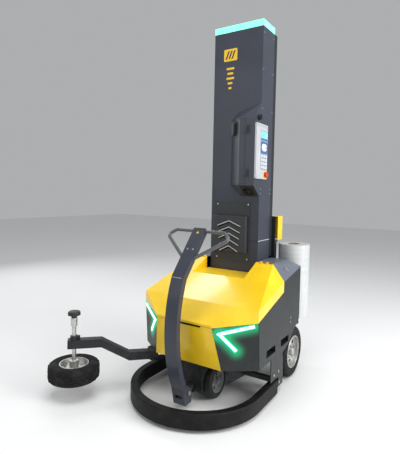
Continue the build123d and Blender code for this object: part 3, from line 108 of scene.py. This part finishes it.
class Finish:
    """A material whose nodes are made through one method."""

    def __init__(self, name, **fixed):
        self.material = bpy.data.materials.new(name)
        self.material.use_nodes = True
        self.tree = self.material.node_tree
        self.tree.nodes.clear()
        self.shader = self.tree.nodes.new("ShaderNodeBsdfPrincipled")
        end = self.tree.nodes.new("ShaderNodeOutputMaterial")
        self.tree.links.new(self.shader.outputs[0], end.inputs[0])
        self.set(**fixed)
        self.place = self.node("ShaderNodeTexCoord", {}, {}, "Object")

    def node(self, kind, settings, values, output=0):
        made = self.tree.nodes.new(kind)
        for key, value in settings.items():
            setattr(made, key, value)
        for key, value in values.items():
            self._feed(made.inputs[key], value)
        return Tone(self, made.outputs[output])

    def _feed(self, socket, value):
        if isinstance(value, Tone):
            self.tree.links.new(value.socket, socket)
        else:
            socket.default_value = value

    def set(self, **values):
        """Sets the shader's own sockets: base_color becomes Base Color."""
        for key, value in values.items():
            title = key.replace("_", " ").title().replace("Ior", "IOR")
            if isinstance(value, tuple) and len(value) == 3:
                value = (*value, 1)
            self._feed(self.shader.inputs[title], value)

    def grain(self, scale, detail=3, rough=0.55, stretch=None):
        """Noise at so many features a metre."""
        place = self.place
        if stretch:
            place = self.node("ShaderNodeVectorMath", {"operation": "MULTIPLY"}, {0: place, 1: stretch})
        return self.node("ShaderNodeTexNoise", {}, {"Vector": place, "Scale": scale, "Detail": detail,
                                                    "Roughness": rough}, "Fac")

    def cells(self, scale):
        return self.node("ShaderNodeTexVoronoi", {}, {"Vector": self.place, "Scale": scale}, "Distance")

    def height(self):
        """Height above the floor in metres."""
        return self.node("ShaderNodeSeparateXYZ", {}, {0: self.place}, "Z")

    def near_line(self, start, end, reach):
        """1 on a line between two points and 0 beyond its reach, mirrored about the machine's middle."""
        vector = "ShaderNodeVectorMath"
        spot = self.node(vector, {"operation": "SUBTRACT"}, {0: self.place, 1: HOME})
        spot = self.node(vector, {"operation": "ABSOLUTE"}, {0: spot})
        rel = self.node(vector, {"operation": "SUBTRACT"}, {0: spot, 1: start})
        way = end - start
        share = way / way.length_squared
        along = self.node(vector, {"operation": "DOT_PRODUCT"}, {0: rel, 1: share}, "Value")
        along = self.node("ShaderNodeClamp", {}, {0: along, 1: 0.0, 2: 1.0})
        foot = self.node(vector, {"operation": "SCALE"}, {0: way, "Scale": along})
        off = self.node(vector, {"operation": "DISTANCE"}, {0: rel, 1: foot}, "Value")
        return 1 - off.clear_of(0.004, reach)

    def blend(self, share, low, high):
        """A colour between two."""
        settings = {"data_type": "RGBA"}
        return self.node("ShaderNodeMix", settings, {0: share, 6: wide(low), 7: wide(high)}, 2)

    def bump(self, height, strength, distance):
        self.set(normal=self.node("ShaderNodeBump", {}, {"Height": height, "Strength": strength,
                                                         "Distance": distance}))


def wide(colour):
    return colour if isinstance(colour, Tone) else (*colour, 1)


def shade(colour, by):
    return tuple(channel * by for channel in colour)


def paint(name, colour, rough=0.34, coat=0.25, dust=0.0, peel=0.10, painted_glow_lines=()):
    """Baked powder paint: faint mottling, orange peel, small scuffs, dust low down and, near given lines, a
    painted green glow of lamp light.
    """
    made = Finish(name, coat_roughness=0.12, specular_ior_level=0.38)
    mottle = made.grain(7, 4).clear_of(0.35, 0.7)
    tint = made.blend(mottle, shade(colour, 0.93), shade(colour, 1.06))
    speck = made.grain(900, 2)
    scuff = made.grain(60, 5, 0.7, (1, 1, 0.25)).clear_of(0.63, 0.72)
    tint = made.blend(scuff * 0.10, tint, shade(colour, 1.5))
    if dust:
        low = 1 - made.height().clear_of(0.02, 0.42)
        tint = made.blend(low * made.grain(30, 5).clear_of(0.35, 0.65) * dust, tint, (0.30, 0.28, 0.25))
    made.set(base_color=tint, roughness=rough + speck * 0.05 + scuff * 0.18 + mottle * 0.05)
    made.set(coat_weight=coat)
    # painted glow: green light of the arrow lamps, painted as emission on the panel near their edges
    if painted_glow_lines:
        near = sum(made.near_line(start, end, 0.075) ** 2 for start, end in painted_glow_lines)
        made.set(emission_color=made.blend(near, (0, 0, 0), (0.0, 0.46, 0.17)), emission_strength=1.0)
    made.bump(made.grain(420, 2) + speck * 0.35, peel, 0.0004)
    return made.material


def metal(name, colour, rough=0.3, brushed=(1, 1, 1), strength=0.12):
    """Bare or zinc-plated metal with fine directional marks."""
    made = Finish(name, metallic=1.0)
    cloud = made.grain(25, 4)
    marks = made.grain(260, 4, 0.7, brushed)
    made.set(base_color=made.blend(cloud, shade(colour, 0.82), shade(colour, 1.12)))
    made.set(roughness=rough + marks * 0.14 + cloud * 0.08)
    made.bump(marks, strength, 0.0003)
    return made.material


def rubber(name, colour=(0.009, 0.009, 0.010), rough=0.72, dust=0.16):
    """Black rubber with a fine skin and floor dust in its hollows."""
    made = Finish(name, specular_ior_level=0.22)
    patch = made.grain(18, 5).clear_of(0.42, 0.66)
    tint = made.blend(patch * dust, colour, (0.085, 0.080, 0.072))
    made.set(base_color=tint, roughness=rough + made.grain(150, 3) * 0.16)
    made.bump(made.cells(700) * 0.6 + made.grain(260, 3), 0.25, 0.0005)
    return made.material


def moulded(name, colour, rough=0.45, grain=0.18):
    """Moulded plastic with a fine leather-like grain."""
    made = Finish(name, specular_ior_level=0.45)
    fine = made.cells(1300)
    made.set(base_color=made.blend(made.grain(9, 3), shade(colour, 0.9), shade(colour, 1.1)))
    made.set(roughness=rough + fine * 0.10 + made.grain(40, 3) * 0.06)
    made.bump(fine, grain, 0.0003)
    return made.material


def lit(name, colour, glow, strength):
    """A lit lens: a translucent-looking skin over even light."""
    made = Finish(name, roughness=0.2, emission_strength=strength, coat_weight=0.5)
    made.set(base_color=made.blend(made.grain(40, 2), shade(colour, 0.9), colour))
    made.set(emission_color=made.blend(made.grain(24, 2), shade(glow, 0.85), glow))
    made.bump(made.grain(500, 2), 0.05, 0.0002)
    return made.material


def film(name):
    """Wound stretch film: glossy, faintly banded round the roll with pulled wrinkles."""
    made = Finish(name, coat_roughness=0.08, specular_ior_level=0.6, subsurface_weight=0.0)
    bands = made.grain(55, 4, 0.6, (0.05, 0.05, 1))
    pulls = made.grain(38, 5, 0.65, (1, 1, 0.22)).clear_of(0.35, 0.75)
    tint = made.blend(bands, (0.44, 0.46, 0.46), (0.64, 0.66, 0.66))
    made.set(base_color=tint, roughness=0.24 + pulls * 0.16, coat_weight=0.6)
    made.bump(bands * 0.8 + pulls, 0.30, 0.0014)
    return made.material


def card(name):
    """Spiral-wound paper tube."""
    made = Finish(name, specular_ior_level=0.25)
    fibre = made.grain(320, 5, 0.7, (1, 1, 3))
    made.set(base_color=made.blend(fibre, (0.23, 0.14, 0.075), (0.42, 0.28, 0.16)))
    made.set(roughness=0.78 + fibre * 0.15)
    made.bump(fibre, 0.3, 0.0004)
    return made.material


def printed(name, colour, rough=0.35):
    """A printed film label."""
    made = Finish(name, coat_roughness=0.2)
    made.set(base_color=made.blend(made.grain(30, 3), shade(colour, 0.92), colour))
    made.set(roughness=rough + made.grain(500, 2) * 0.08, coat_weight=0.3)
    made.bump(made.grain(700, 2), 0.04, 0.0002)
    return made.material


SLATE = (0.036, 0.041, 0.060)
FINISHES = {
    "slate_paint": paint("mast slate paint", SLATE, 0.40, 0.14),
    "yellow_paint": paint("hood yellow paint", (0.92, 0.60, 0.010), 0.27, 0.45, 0.06, 0.07),
    "dark_paint": paint("panel dark paint", (0.012, 0.015, 0.017), 0.46, 0.06, 0.10),
    "grey_paint": paint("shoulder grey paint", (0.13, 0.15, 0.185), 0.38, 0.2),
    "zinc_steel": metal("zinc plated steel", (0.62, 0.62, 0.60), 0.28),
    "aluminium": metal("cast aluminium", (0.66, 0.67, 0.68), 0.42, (1, 1, 1), 0.35),
    "tube_handle": paint("handle tube paint", (0.085, 0.095, 0.105), 0.30, 0.40),
    "tyre_rubber": rubber("tyre rubber"),
    "wheel_rubber": rubber("roller rubber", (0.022, 0.022, 0.023), 0.5, 0.25),
    "bumper_skin": rubber("bumper skin", (0.004, 0.004, 0.005), 0.48, 0.08),
    "black_plastic": moulded("black moulded plastic", (0.018, 0.018, 0.019), 0.36),
    "green_light": lit("mast light lens", (0.25, 0.85, 0.50), (0.10, 1.0, 0.48), 1.7),
    "white_light": lit("arrow light edge", (0.1, 0.8, 0.5), (0.0, 0.95, 0.45), 2.2),
    "screen_glass": printed("screen glass", (0.10, 0.20, 0.22), 0.12),
    "key_film": printed("key film", (0.30, 0.34, 0.40), 0.38),
    "red_plastic": moulded("stop button red", (0.62, 0.02, 0.012), 0.28, 0.05),
    "warning_yellow": printed("stop ring yellow", (0.90, 0.62, 0.01)),
    "film_white": film("stretch film"),
    "card_core": card("paper core"),
}
DARK_PAINT = FINISHES["dark_paint"]
# Edges of the arrow lamps: along them the corner panel paint gets a painted green glow of their light.
ARROW_TIP = Vector((216, 571, 456)) / 1000
ARROW_ENDS = (Vector((374, 462, 500)) / 1000, Vector((291, 511, 361)) / 1000)
CORNER_PAINT_PAINTED_GLOW = paint("corner panel paint with painted glow", (0.012, 0.016, 0.017), 0.46, 0.06, 0.10,
                     painted_glow_lines=[(ARROW_TIP, end) for end in ARROW_ENDS])
BLACK = moulded("hinge black", (0.02, 0.021, 0.023), 0.4)
CHARCOAL = paint("vent charcoal paint", (0.030, 0.034, 0.040), 0.42, 0.15)
PANEL_WHITE = paint("panel pale paint", (0.46, 0.48, 0.50), 0.35, 0.2)
HUB = metal("wheel hub alloy", (0.50, 0.52, 0.54), 0.34, (1, 1, 1), 0.25)
GLOW = lit("arrow light core", (0.8, 1.0, 0.92), (0.62, 1.0, 0.82), 9.0)
DARK_GAP = moulded("shadow black", (0.004, 0.004, 0.005), 0.7)
WHITE = printed("label white", (0.72, 0.74, 0.75))
BLUE = printed("label blue", (0.03, 0.13, 0.34))
AMBER = printed("mark yellow", (0.85, 0.52, 0.01))
RED = printed("mark red", (0.62, 0.03, 0.02))
PALE_SCREEN = printed("screen lines", (0.02, 0.10, 0.16))
CYAN = lit("screen light", (0.2, 0.7, 0.75), (0.15, 0.80, 0.85), 1.3)
BOLT = metal("bolt steel", (0.42, 0.42, 0.41), 0.32)

# ---------------------------------------------------------------- the CAD pieces get their finishes

slots = {part["node"]: part["material_slot"] for part in frame["record"]["subparts"]}
own_finish = {"guide_rails": DARK_PAINT, "hinges": BLACK, "vent_cover": CHARCOAL,
              "operator_panel": PANEL_WHITE, "corner_panels": CORNER_PAINT_PAINTED_GLOW}
for name, piece in nodes.items():
    piece.data.materials.clear()
    piece.data.materials.append(own_finish.get(name, FINISHES[slots[name]]))
    piece.data.polygons.foreach_set("use_smooth", [True] * len(piece.data.polygons))
    piece.data.set_sharp_from_angle(angle=math.radians(32))


def part_finish(node, material, belongs):
    """Gives one finish to the faces of a CAD node that the test picks."""
    piece = nodes[node]
    piece.data.materials.append(material)
    number = len(piece.data.materials) - 1
    for face in piece.data.polygons:
        if belongs(face.center):
            face.material_index = number


def soften(node, width=0.0012):
    """Rounds a folded or cut piece's edges a little, as bending and paint do."""
    edge = nodes[node].modifiers.new("edge", "BEVEL")
    edge.width = width
    edge.segments = 2
    edge.limit_method = "ANGLE"
    edge.angle_limit = math.radians(38)
    edge.harden_normals = True


# ---------------------------------------------------------------- ways to make a piece


def add(name, shape, material, body, smooth=32):
    """Turns a bmesh into a piece that rides on a body."""
    bmesh.ops.remove_doubles(shape, verts=shape.verts, dist=1e-6)
    bmesh.ops.recalc_face_normals(shape, faces=shape.faces)
    data = bpy.data.meshes.new(name)
    shape.to_mesh(data)
    shape.free()
    data.polygons.foreach_set("use_smooth", [True] * len(data.polygons))
    data.set_sharp_from_angle(angle=math.radians(smooth))
    piece = bpy.data.objects.new(name, data)
    bpy.context.scene.collection.objects.link(piece)
    data.materials.append(material)
    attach(piece, body)
    return piece


def prism(shape, outline, origin, across, up, depth, bevel=0.0):
    """Adds a raised plate to a bmesh: a flat outline in millimetres, standing out by depth."""
    out = across.cross(up).normalized()
    rings = [[origin + across * (u / 1000) + up * (v / 1000) for u, v in outline]]
    rings.append([p + out * ((depth - bevel) / 1000) for p in rings[0]])
    if bevel:
        cu = sum(u for u, v in outline) / len(outline)
        cv = sum(v for u, v in outline) / len(outline)
        half_u = max(abs(u - cu) for u, v in outline)
        half_v = max(abs(v - cv) for u, v in outline)
        keep_u, keep_v = 1 - bevel / half_u, 1 - bevel / half_v
        shrink = [(cu + (u - cu) * keep_u, cv + (v - cv) * keep_v) for u, v in outline]
        top = origin + out * (depth / 1000)
        rings.append([top + across * (u / 1000) + up * (v / 1000) for u, v in shrink])
    loops = [[shape.verts.new(p) for p in ring] for ring in rings]
    count = len(outline)
    for low, high in zip(loops, loops[1:]):
        for k in range(count):
            shape.faces.new((low[k], low[(k + 1) % count], high[(k + 1) % count], high[k]))
    shape.faces.new(loops[-1])
    shape.faces.new(list(reversed(loops[0])))


def rounded(width, height, radius, centre=(0, 0), steps=5):
    """Outline of a rectangle with round corners."""
    points = []
    for k, (sx, sy) in enumerate(((1, 1), (-1, 1), (-1, -1), (1, -1))):
        cx, cy = centre[0] + sx * (width / 2 - radius), centre[1] + sy * (height / 2 - radius)
        for step in range(steps + 1):
            turn = math.radians(90 * k + 90 * step / steps)
            points.append((cx + radius * math.cos(turn), cy + radius * math.sin(turn)))
    return points


def disc(radius, centre=(0, 0), steps=40, start=0):
    turns = [math.radians(start) + 2 * math.pi * k / steps for k in range(steps)]
    return [(centre[0] + radius * math.cos(t), centre[1] + radius * math.sin(t)) for t in turns]


def plates(name, outlines, origin, across, up, depth, material, body, bevel=0.3):
    """A set of small raised plates on one face, made as one piece."""
    shape = bmesh.new()
    for outline in outlines:
        prism(shape, outline, origin, across, up, depth, bevel)
    return add(name, shape, material, body)


def lathe(name, profile, centre, axis, material, body, steps=96, lugs=None):
    """Turns a closed profile of (radius, offset, tread row) in millimetres round an axis."""
    shape = bmesh.new()
    side = UP if abs(axis.z) < 0.5 else FRONT
    across = axis.cross(side).normalized()
    up = across.cross(axis).normalized()
    rings = []
    for step in range(steps):
        turn = 2 * math.pi * step / steps
        way = across * math.cos(turn) + up * math.sin(turn)
        ring = []
        for radius, offset, row in profile:
            if lugs and row is not None and (step // lugs[0] + row) % 2:
                radius -= lugs[1]
            ring.append(shape.verts.new(centre + way * (radius / 1000) + axis * (offset / 1000)))
        rings.append(ring)
    count = len(profile)
    for step in range(steps):
        one, two = rings[step], rings[(step + 1) % steps]
        for k in range(count):
            shape.faces.new((one[k], one[(k + 1) % count], two[(k + 1) % count], two[k]))
    return add(name, shape, material, body)


def bolt_heads(name, places, out, radius, height, body, material=None):
    """Button heads with a hexagon socket."""
    shape = bmesh.new()
    across = out.orthogonal().normalized()
    up = out.cross(across).normalized()
    for place in places:
        rings = []
        for share, rise in ((1.0, 0), (1.0, 0.45), (0.86, 0.8), (0.55, 1.0)):
            rings.append([shape.verts.new(place + (across * u + up * v) / 1000 + out * (rise * height / 1000))
                          for u, v in disc(radius * share, steps=24)])
        hexagon = [shape.verts.new(place + (across * u + up * v) / 1000 + out * (height / 1000))
                   for u, v in disc(radius * 0.42, steps=24)]
        sunk = [shape.verts.new(v.co - out * (height * 0.6 / 1000)) for v in hexagon]
        rings += [hexagon, sunk]
        for low, high in zip(rings, rings[1:]):
            for k in range(24):
                shape.faces.new((low[k], low[(k + 1) % 24], high[(k + 1) % 24], high[k]))
        shape.faces.new(sunk)
        shape.faces.new(list(reversed(rings[0])))
    return add(name, shape, material or BOLT, body)


# ---------------------------------------------------------------- wheels


CROWN = 0.0007    # how fast the tread falls away from the middle of the tyre


def tyre_profile(radius, bore, width, tread_rows, groove=3.0, depth=5.0, shoulder=0.28):
    """Half-round shoulders, a nearly flat crown with grooves between its rows, and a bead."""
    half = width / 2
    rise = radius - bore
    points = [(bore, -half * 0.72, None), (bore + rise * 0.10, -half * 0.90, None),
              (bore + rise * 0.34, -half, None), (bore + rise * 0.58, -half * 0.99, None),
              (bore + rise * 0.80, -half * 0.90, None), (radius - rise * 0.07, -half * (1 - shoulder) - 3, 0)]
    span = 2 * half * (1 - shoulder)
    pitch = span / tread_rows
    for row in range(tread_rows):
        start = -span / 2 + pitch * row
        near, far = start + groove / 2, start + pitch - groove / 2
        low, high = radius - CROWN * near ** 2, radius - CROWN * far ** 2
        points += [(low - depth, start, None), (low, near, row)]
        points += [(high, far, row), (high - depth, start + pitch, None)]
    mirrored = [(r, -o, row) for r, o, row in reversed(points[:6])]
    return points + mirrored


def wheel(name, node, body, axis, radius, bore, width, steps, lugs, rows):
    """A treaded tyre in place of the CAD node's plain one."""
    piece = lathe(name, tyre_profile(radius, bore, width, rows), middle(node), axis,
                  FINISHES["tyre_rubber"], body, steps, lugs)
    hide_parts(node)
    return piece


for side, body in (("right", "rear_wheel_r"), ("left", "rear_wheel_l")):
    wheel(f"drive_tyre_{side}", f"rear_tyre_{side}", body, RIGHT, 165, 104, 78, 192, (4, 3.5), 4)
    out = RIGHT if side == "right" else LEFT
    hub = middle(f"rear_rim_{side}")
    face = hub + out * 0.010
    dome = [(0.1, 0, None), (26, 0, None), (26, 6, None), (24, 9, None), (14, 12, None), (0.1, 13, None)]
    lathe(f"hub_cap_{side}", dome, face + out * 0.015, out, HUB, body, 48)
    nuts = [face + (BACK * u + UP * v) / 1000 for u, v in disc(43, steps=5, start=18)]
    bolt_heads(f"wheel_nuts_{side}", nuts, out, 7, 9, body)
    lip = [(98, 22, None), (104, 22, None), (106, 25, None), (104, 28, None), (99, 27, None)]
    lathe(f"rim_lip_{side}", lip, hub + out * 0.008, out, FINISHES["zinc_steel"], body, 72)
wheel("feeler_wheel_tyre", "feeler_tyre", "feeler_wheel", UP, 148, 84, 100, 160, (4, 4), 4)

for side, out in (("right", RIGHT), ("left", LEFT)):
    node = f"front_wheel_{side}"
    centre = middle(node)
    part_finish(node, HUB, lambda spot, c=centre: math.hypot(spot.y - c.y, spot.z - c.z) < 0.0662)


def on_buffer(spot):
    """True on the rubber buffers behind the bumper's guide rods."""
    beside = abs(spot.x - HOME.x)
    return (beside < 0.381 and spot.y > HOME.y - 0.122
            and math.hypot(beside - 0.3655, spot.z - 0.061) < 0.0165)


part_finish("bumper_brackets", FINISHES["wheel_rubber"], on_buffer)

# ---------------------------------------------------------------- arrow lights


def arrow_cores():
    """White lit cores in the green arrow lenses: the lens's face, inset and lifted a hair."""
    source = bmesh.new()
    source.from_mesh(nodes["arrow_lights"].data)
    bmesh.ops.remove_doubles(source, verts=source.verts, dist=1e-6)
    facing = [f for f in source.faces if f.normal.y < -0.5 and abs(f.normal.z) < 0.6
              and f.calc_area() > 0 and is_outer(f)]
    bmesh.ops.inset_region(source, faces=facing, thickness=0.0048, use_even_offset=True)
    keep = set(facing)
    bmesh.ops.delete(source, geom=[f for f in source.faces if f not in keep], context="FACES")
    lift = 0.0006
    for v in source.verts:
        normal = sum((f.normal for f in v.link_faces), Vector()).normalized()
        v.co += normal * lift
    skirt = bmesh.ops.extrude_face_region(source, geom=list(source.faces))
    for item in skirt["geom"]:
        if isinstance(item, bmesh.types.BMVert):
            item.co -= Vector((0, -1, 0)) * 0.002
    return source


def is_outer(face):
    """True on the lens's outward face, whose normal leans with the corner panel."""
    return abs(face.normal.x) > 0.3


add("arrow_cores", arrow_cores(), GLOW, "chassis")

# ---------------------------------------------------------------- mast

soft_edges = {"hood": 0.0016, "front_panel": 0.0012, "side_panels": 0.0008, "corner_panels": 0.0008,
              "shoulders": 0.0012, "mast_column": 0.0022, "mast_foot": 0.0022, "control_box": 0.0014,
              "control_door": 0.0012, "tiller_tube": 0.0016, "vent_cover": 0.0012, "belly_tray": 0.0012,
              "feeler_arm": 0.002, "bumper_ring": 0.0016, "operator_panel": 0.001, "carriage_cover": 0.0015,
              "carriage_frame": 0.0012, "steering_fork": 0.0015, "feeler_bracket": 0.001,
              "bumper_brackets": 0.001, "rear_panel": 0.001, "mast_light": 0.0015, "door_handle": 0.001}
for name, width in soft_edges.items():
    soften(name, width)

MAST_RIGHT, MAST_LEFT, MAST_MIDDLE, SEAM_Z = 168, -188, -10, 899
BADGE_X, BADGE_Z = -66, 2130
badge = rounded(100, 80, 9, (BADGE_X, BADGE_Z))
plates("mast_badge", [badge], at(0, 0, 0), RIGHT, UP, 0.8, AMBER, "chassis")
stripes = [[(x - 12, 2104), (x - 1, 2104), (x + 19, 2156), (x + 8, 2156)] for x in (-92, -70, -48)]
plates("mast_badge_stripes", stripes, at(0, -0.8, 0), RIGHT, UP, 0.5, FINISHES["slate_paint"], "chassis")
dash_sizes = ((2040, 58), (2008, 44), (1976, 58), (1944, 36), (1912, 22))
dashes = [rounded(w, 14, 4, (BADGE_X, z)) for z, w in dash_sizes]
plates("mast_dashes", dashes, at(0, 0, 0), RIGHT, UP, 0.8, AMBER, "chassis")

seam = [rounded(357.2, 3.2, 1, (MAST_MIDDLE, SEAM_Z))]
plates("mast_seam_front", seam, at(0, 0.2, 0), RIGHT, UP, 0.5, DARK_GAP, "chassis", 0.1)
side_seam = [rounded(178, 4.5, 2, (91, SEAM_Z))]
plates("mast_seam_side", side_seam, at(MAST_RIGHT, 0, 0), BACK, UP, 0.6, PANEL_WHITE, "chassis", 0.1)
column_bolts = [at(MAST_RIGHT, y, z) for y in (16, 168) for z in (1210, 1240, 1760, 2010, 2240)]
bolt_heads("mast_side_bolts", column_bolts, RIGHT, 4.5, 2.5, "chassis")
left_bolts = [at(MAST_LEFT, y, z) for y in (16, 168) for z in (960, 1210, 1480, 1760, 2010, 2240)]
bolt_heads("mast_left_bolts", left_bolts, LEFT, 4.5, 2.5, "chassis")

# raised lips over the louvres of the vent cover


def chevron_lips():
    shape = bmesh.new()
    for k in range(5):
        peak, half = 1058 - 34 - 42 * k, 84 - 5 * k
        outline = [(-33, peak + 4), (-33 + half + 3, peak - 31), (-33 + half + 3, peak - 37), (-33, peak - 2),
                   (-33 - half - 3, peak - 37), (-33 - half - 3, peak - 31)]
        prism(shape, outline, at(0, -28, 0), RIGHT, UP, 5.0, 0)
    return shape


add("louvre_lips", chevron_lips(), FINISHES["zinc_steel"], "chassis")
behind_louvres = [rounded(230, 225, 6, (-33, 936))]
plates("louvre_shadow", behind_louvres, at(0, -12, 0), RIGHT, UP, 1.0, DARK_GAP, "chassis")

# ---------------------------------------------------------------- operator's controls

PANEL = 180
plates("blue_field", [rounded(100, 12, 2, (28, 1557))], at(PANEL - 0.4, 0, 0), BACK, UP, 1.6, BLUE, "chassis")
plates("blue_pad", [rounded(104, 78, 6, (28, 1507))], at(PANEL - 0.2, 0, 0), BACK, UP, 1.4, BLUE, "chassis")
pad_outline = [rounded(76, 46, 22, (28, 1508), 8)]
plates("pad_oval", pad_outline, at(PANEL + 1.2, 0, 0), BACK, UP, 1.8, WHITE, "chassis")
plates("pad_dot", [disc(6, (54, 1508), 24)], at(PANEL + 3.0, 0, 0), BACK, UP, 1.2, RED, "chassis")
keys, rings = [], []
for row in range(4):
    for column in range(3):
        spot = (-4 + 32 * column, 1380 + 24 * row)
        keys.append(rounded(23, 15, 3, spot))
        rings.append(rounded(9, 3, 1, spot))
plates("key_caps", keys, at(PANEL + 2, 0, 0), BACK, UP, 0.8, WHITE, "chassis")
plates("key_marks", rings, at(PANEL + 2.8, 0, 0), BACK, UP, 0.2, BLUE, "chassis", 0.05)
plates("screen_frame_face", [rounded(88, 38, 3, (28, 1589))], at(PANEL + 0.6, 0, 0), BACK, UP, 0.7,
       CYAN, "chassis")
line_sizes = ((70, 1600), (44, 1592), (58, 1584), (30, 1576))
lines = [rounded(w, 4, 1, (28 - (70 - w) / 2, z)) for w, z in line_sizes]
plates("screen_lines", lines, at(PANEL + 1.3, 0, 0), BACK, UP, 0.2, PALE_SCREEN, "chassis", 0.05)
corners = [at(PANEL, y, z) for y in (-74, 74) for z in (1320, 1636)]
bolt_heads("panel_screws", corners, RIGHT, 4, 2, "chassis")

# ---------------------------------------------------------------- tiller

head_way = Vector((0, 212, 249)).normalized()
grip_spot = at(0, -443, 1004) - head_way * 0.034
plates("tiller_badge", [disc(11, (0, 0), 3, 90)], grip_spot, RIGHT, head_way, 0.6, AMBER, "tiller", 0.05)
# thin raised strip along the tiller's bend, painted pale: a painted highlight where the bent edge catches
# light
bend_highlight_strip = [rounded(72, 3, 1, (0, -4))]
plates("tiller_bend_highlight", bend_highlight_strip, at(0, -672, 755), RIGHT, UP, 0.5, PANEL_WHITE, "tiller", 0.05)
bolt_heads("tiller_bolts", [at(x, -443, 1004) - head_way * 0.150 for x in (-18, 18)],
           RIGHT.cross(head_way).normalized(), 6, 3, "tiller")

# ---------------------------------------------------------------- floor, light and camera

floor_shape = bmesh.new()
for x, y in ((-14, -14), (14, -14), (14, 14), (-14, 14)):
    floor_shape.verts.new((x, y, 0))
floor_shape.faces.new(floor_shape.verts)
floor_data = bpy.data.meshes.new("floor")
floor_shape.to_mesh(floor_data)
floor_shape.free()
floor = bpy.data.objects.new("floor", floor_data)
bpy.context.scene.collection.objects.link(floor)
ground = Finish("pale floor", roughness=0.62, specular_ior_level=0.2)
ground.set(base_color=ground.blend(ground.grain(1.5, 4), (0.83, 0.83, 0.83), (0.87, 0.87, 0.87)))
ground.bump(ground.grain(200, 3), 0.03, 0.0003)
floor_data.materials.append(ground.material)

world = bpy.data.worlds.new("studio")
bpy.context.scene.world = world
world.use_nodes = True
world.node_tree.nodes["Background"].inputs["Color"].default_value = (0.93, 0.95, 0.97, 1)
world.node_tree.nodes["Background"].inputs["Strength"].default_value = 0.45


def softbox(name, place, aim, size, power, colour=(1, 1, 1)):
    data = bpy.data.lights.new(name, "AREA")
    data.shape = "RECTANGLE"
    data.size, data.size_y = size
    data.energy = power
    data.color = colour
    lamp = bpy.data.objects.new(name, data)
    bpy.context.scene.collection.objects.link(lamp)
    lamp.location = place
    lamp.rotation_euler = (Vector(aim) - Vector(place)).to_track_quat("-Z", "Y").to_euler()


centre = at(0, 0, 1000)
softbox("top_light", (centre.x + 0.6, centre.y - 1.2, 4.6), centre, (3.4, 2.6), 95)
softbox("right_light", (centre.x + 4.2, centre.y + 0.2, 2.2), centre, (2.2, 3.4), 190)
softbox("front_light", (centre.x - 1.6, centre.y - 4.6, 2.4), centre, (2.4, 2.2), 30)
softbox("left_light", (centre.x - 4.2, centre.y + 1.0, 2.4), centre, (1.6, 2.6), 35)

softbox("hood_light", at(-1547, 816, 2950), at(-20, -330, 636), (0.8, 0.3), 9)
bpy.context.scene.view_settings.view_transform = "Standard"

YAW, PITCH, ROLL = math.radians(32.76), math.radians(2.91), math.radians(1.15)
back = Vector((math.sin(YAW) * math.cos(PITCH), -math.cos(YAW) * math.cos(PITCH), math.sin(PITCH)))
flat = (-back).cross(UP).normalized()
upright = flat.cross(-back)
turned_right = flat * math.cos(ROLL) + upright * math.sin(ROLL)
turned_up = upright * math.cos(ROLL) - flat * math.sin(ROLL)
camera = bpy.data.objects.new("camera", bpy.data.cameras.new("camera"))
bpy.context.scene.collection.objects.link(camera)
stand = Matrix((turned_right, turned_up, back)).transposed().to_4x4()
stand.translation = at(1268.57, -2431.65, 1205.78)
camera.matrix_world = stand
camera.data.sensor_width = 36
camera.data.lens = 32.28
camera.data.shift_x = 0.0032
camera.data.shift_y = -0.0291
camera.data.clip_start, camera.data.clip_end = 0.05, 60
bpy.context.scene.camera = camera
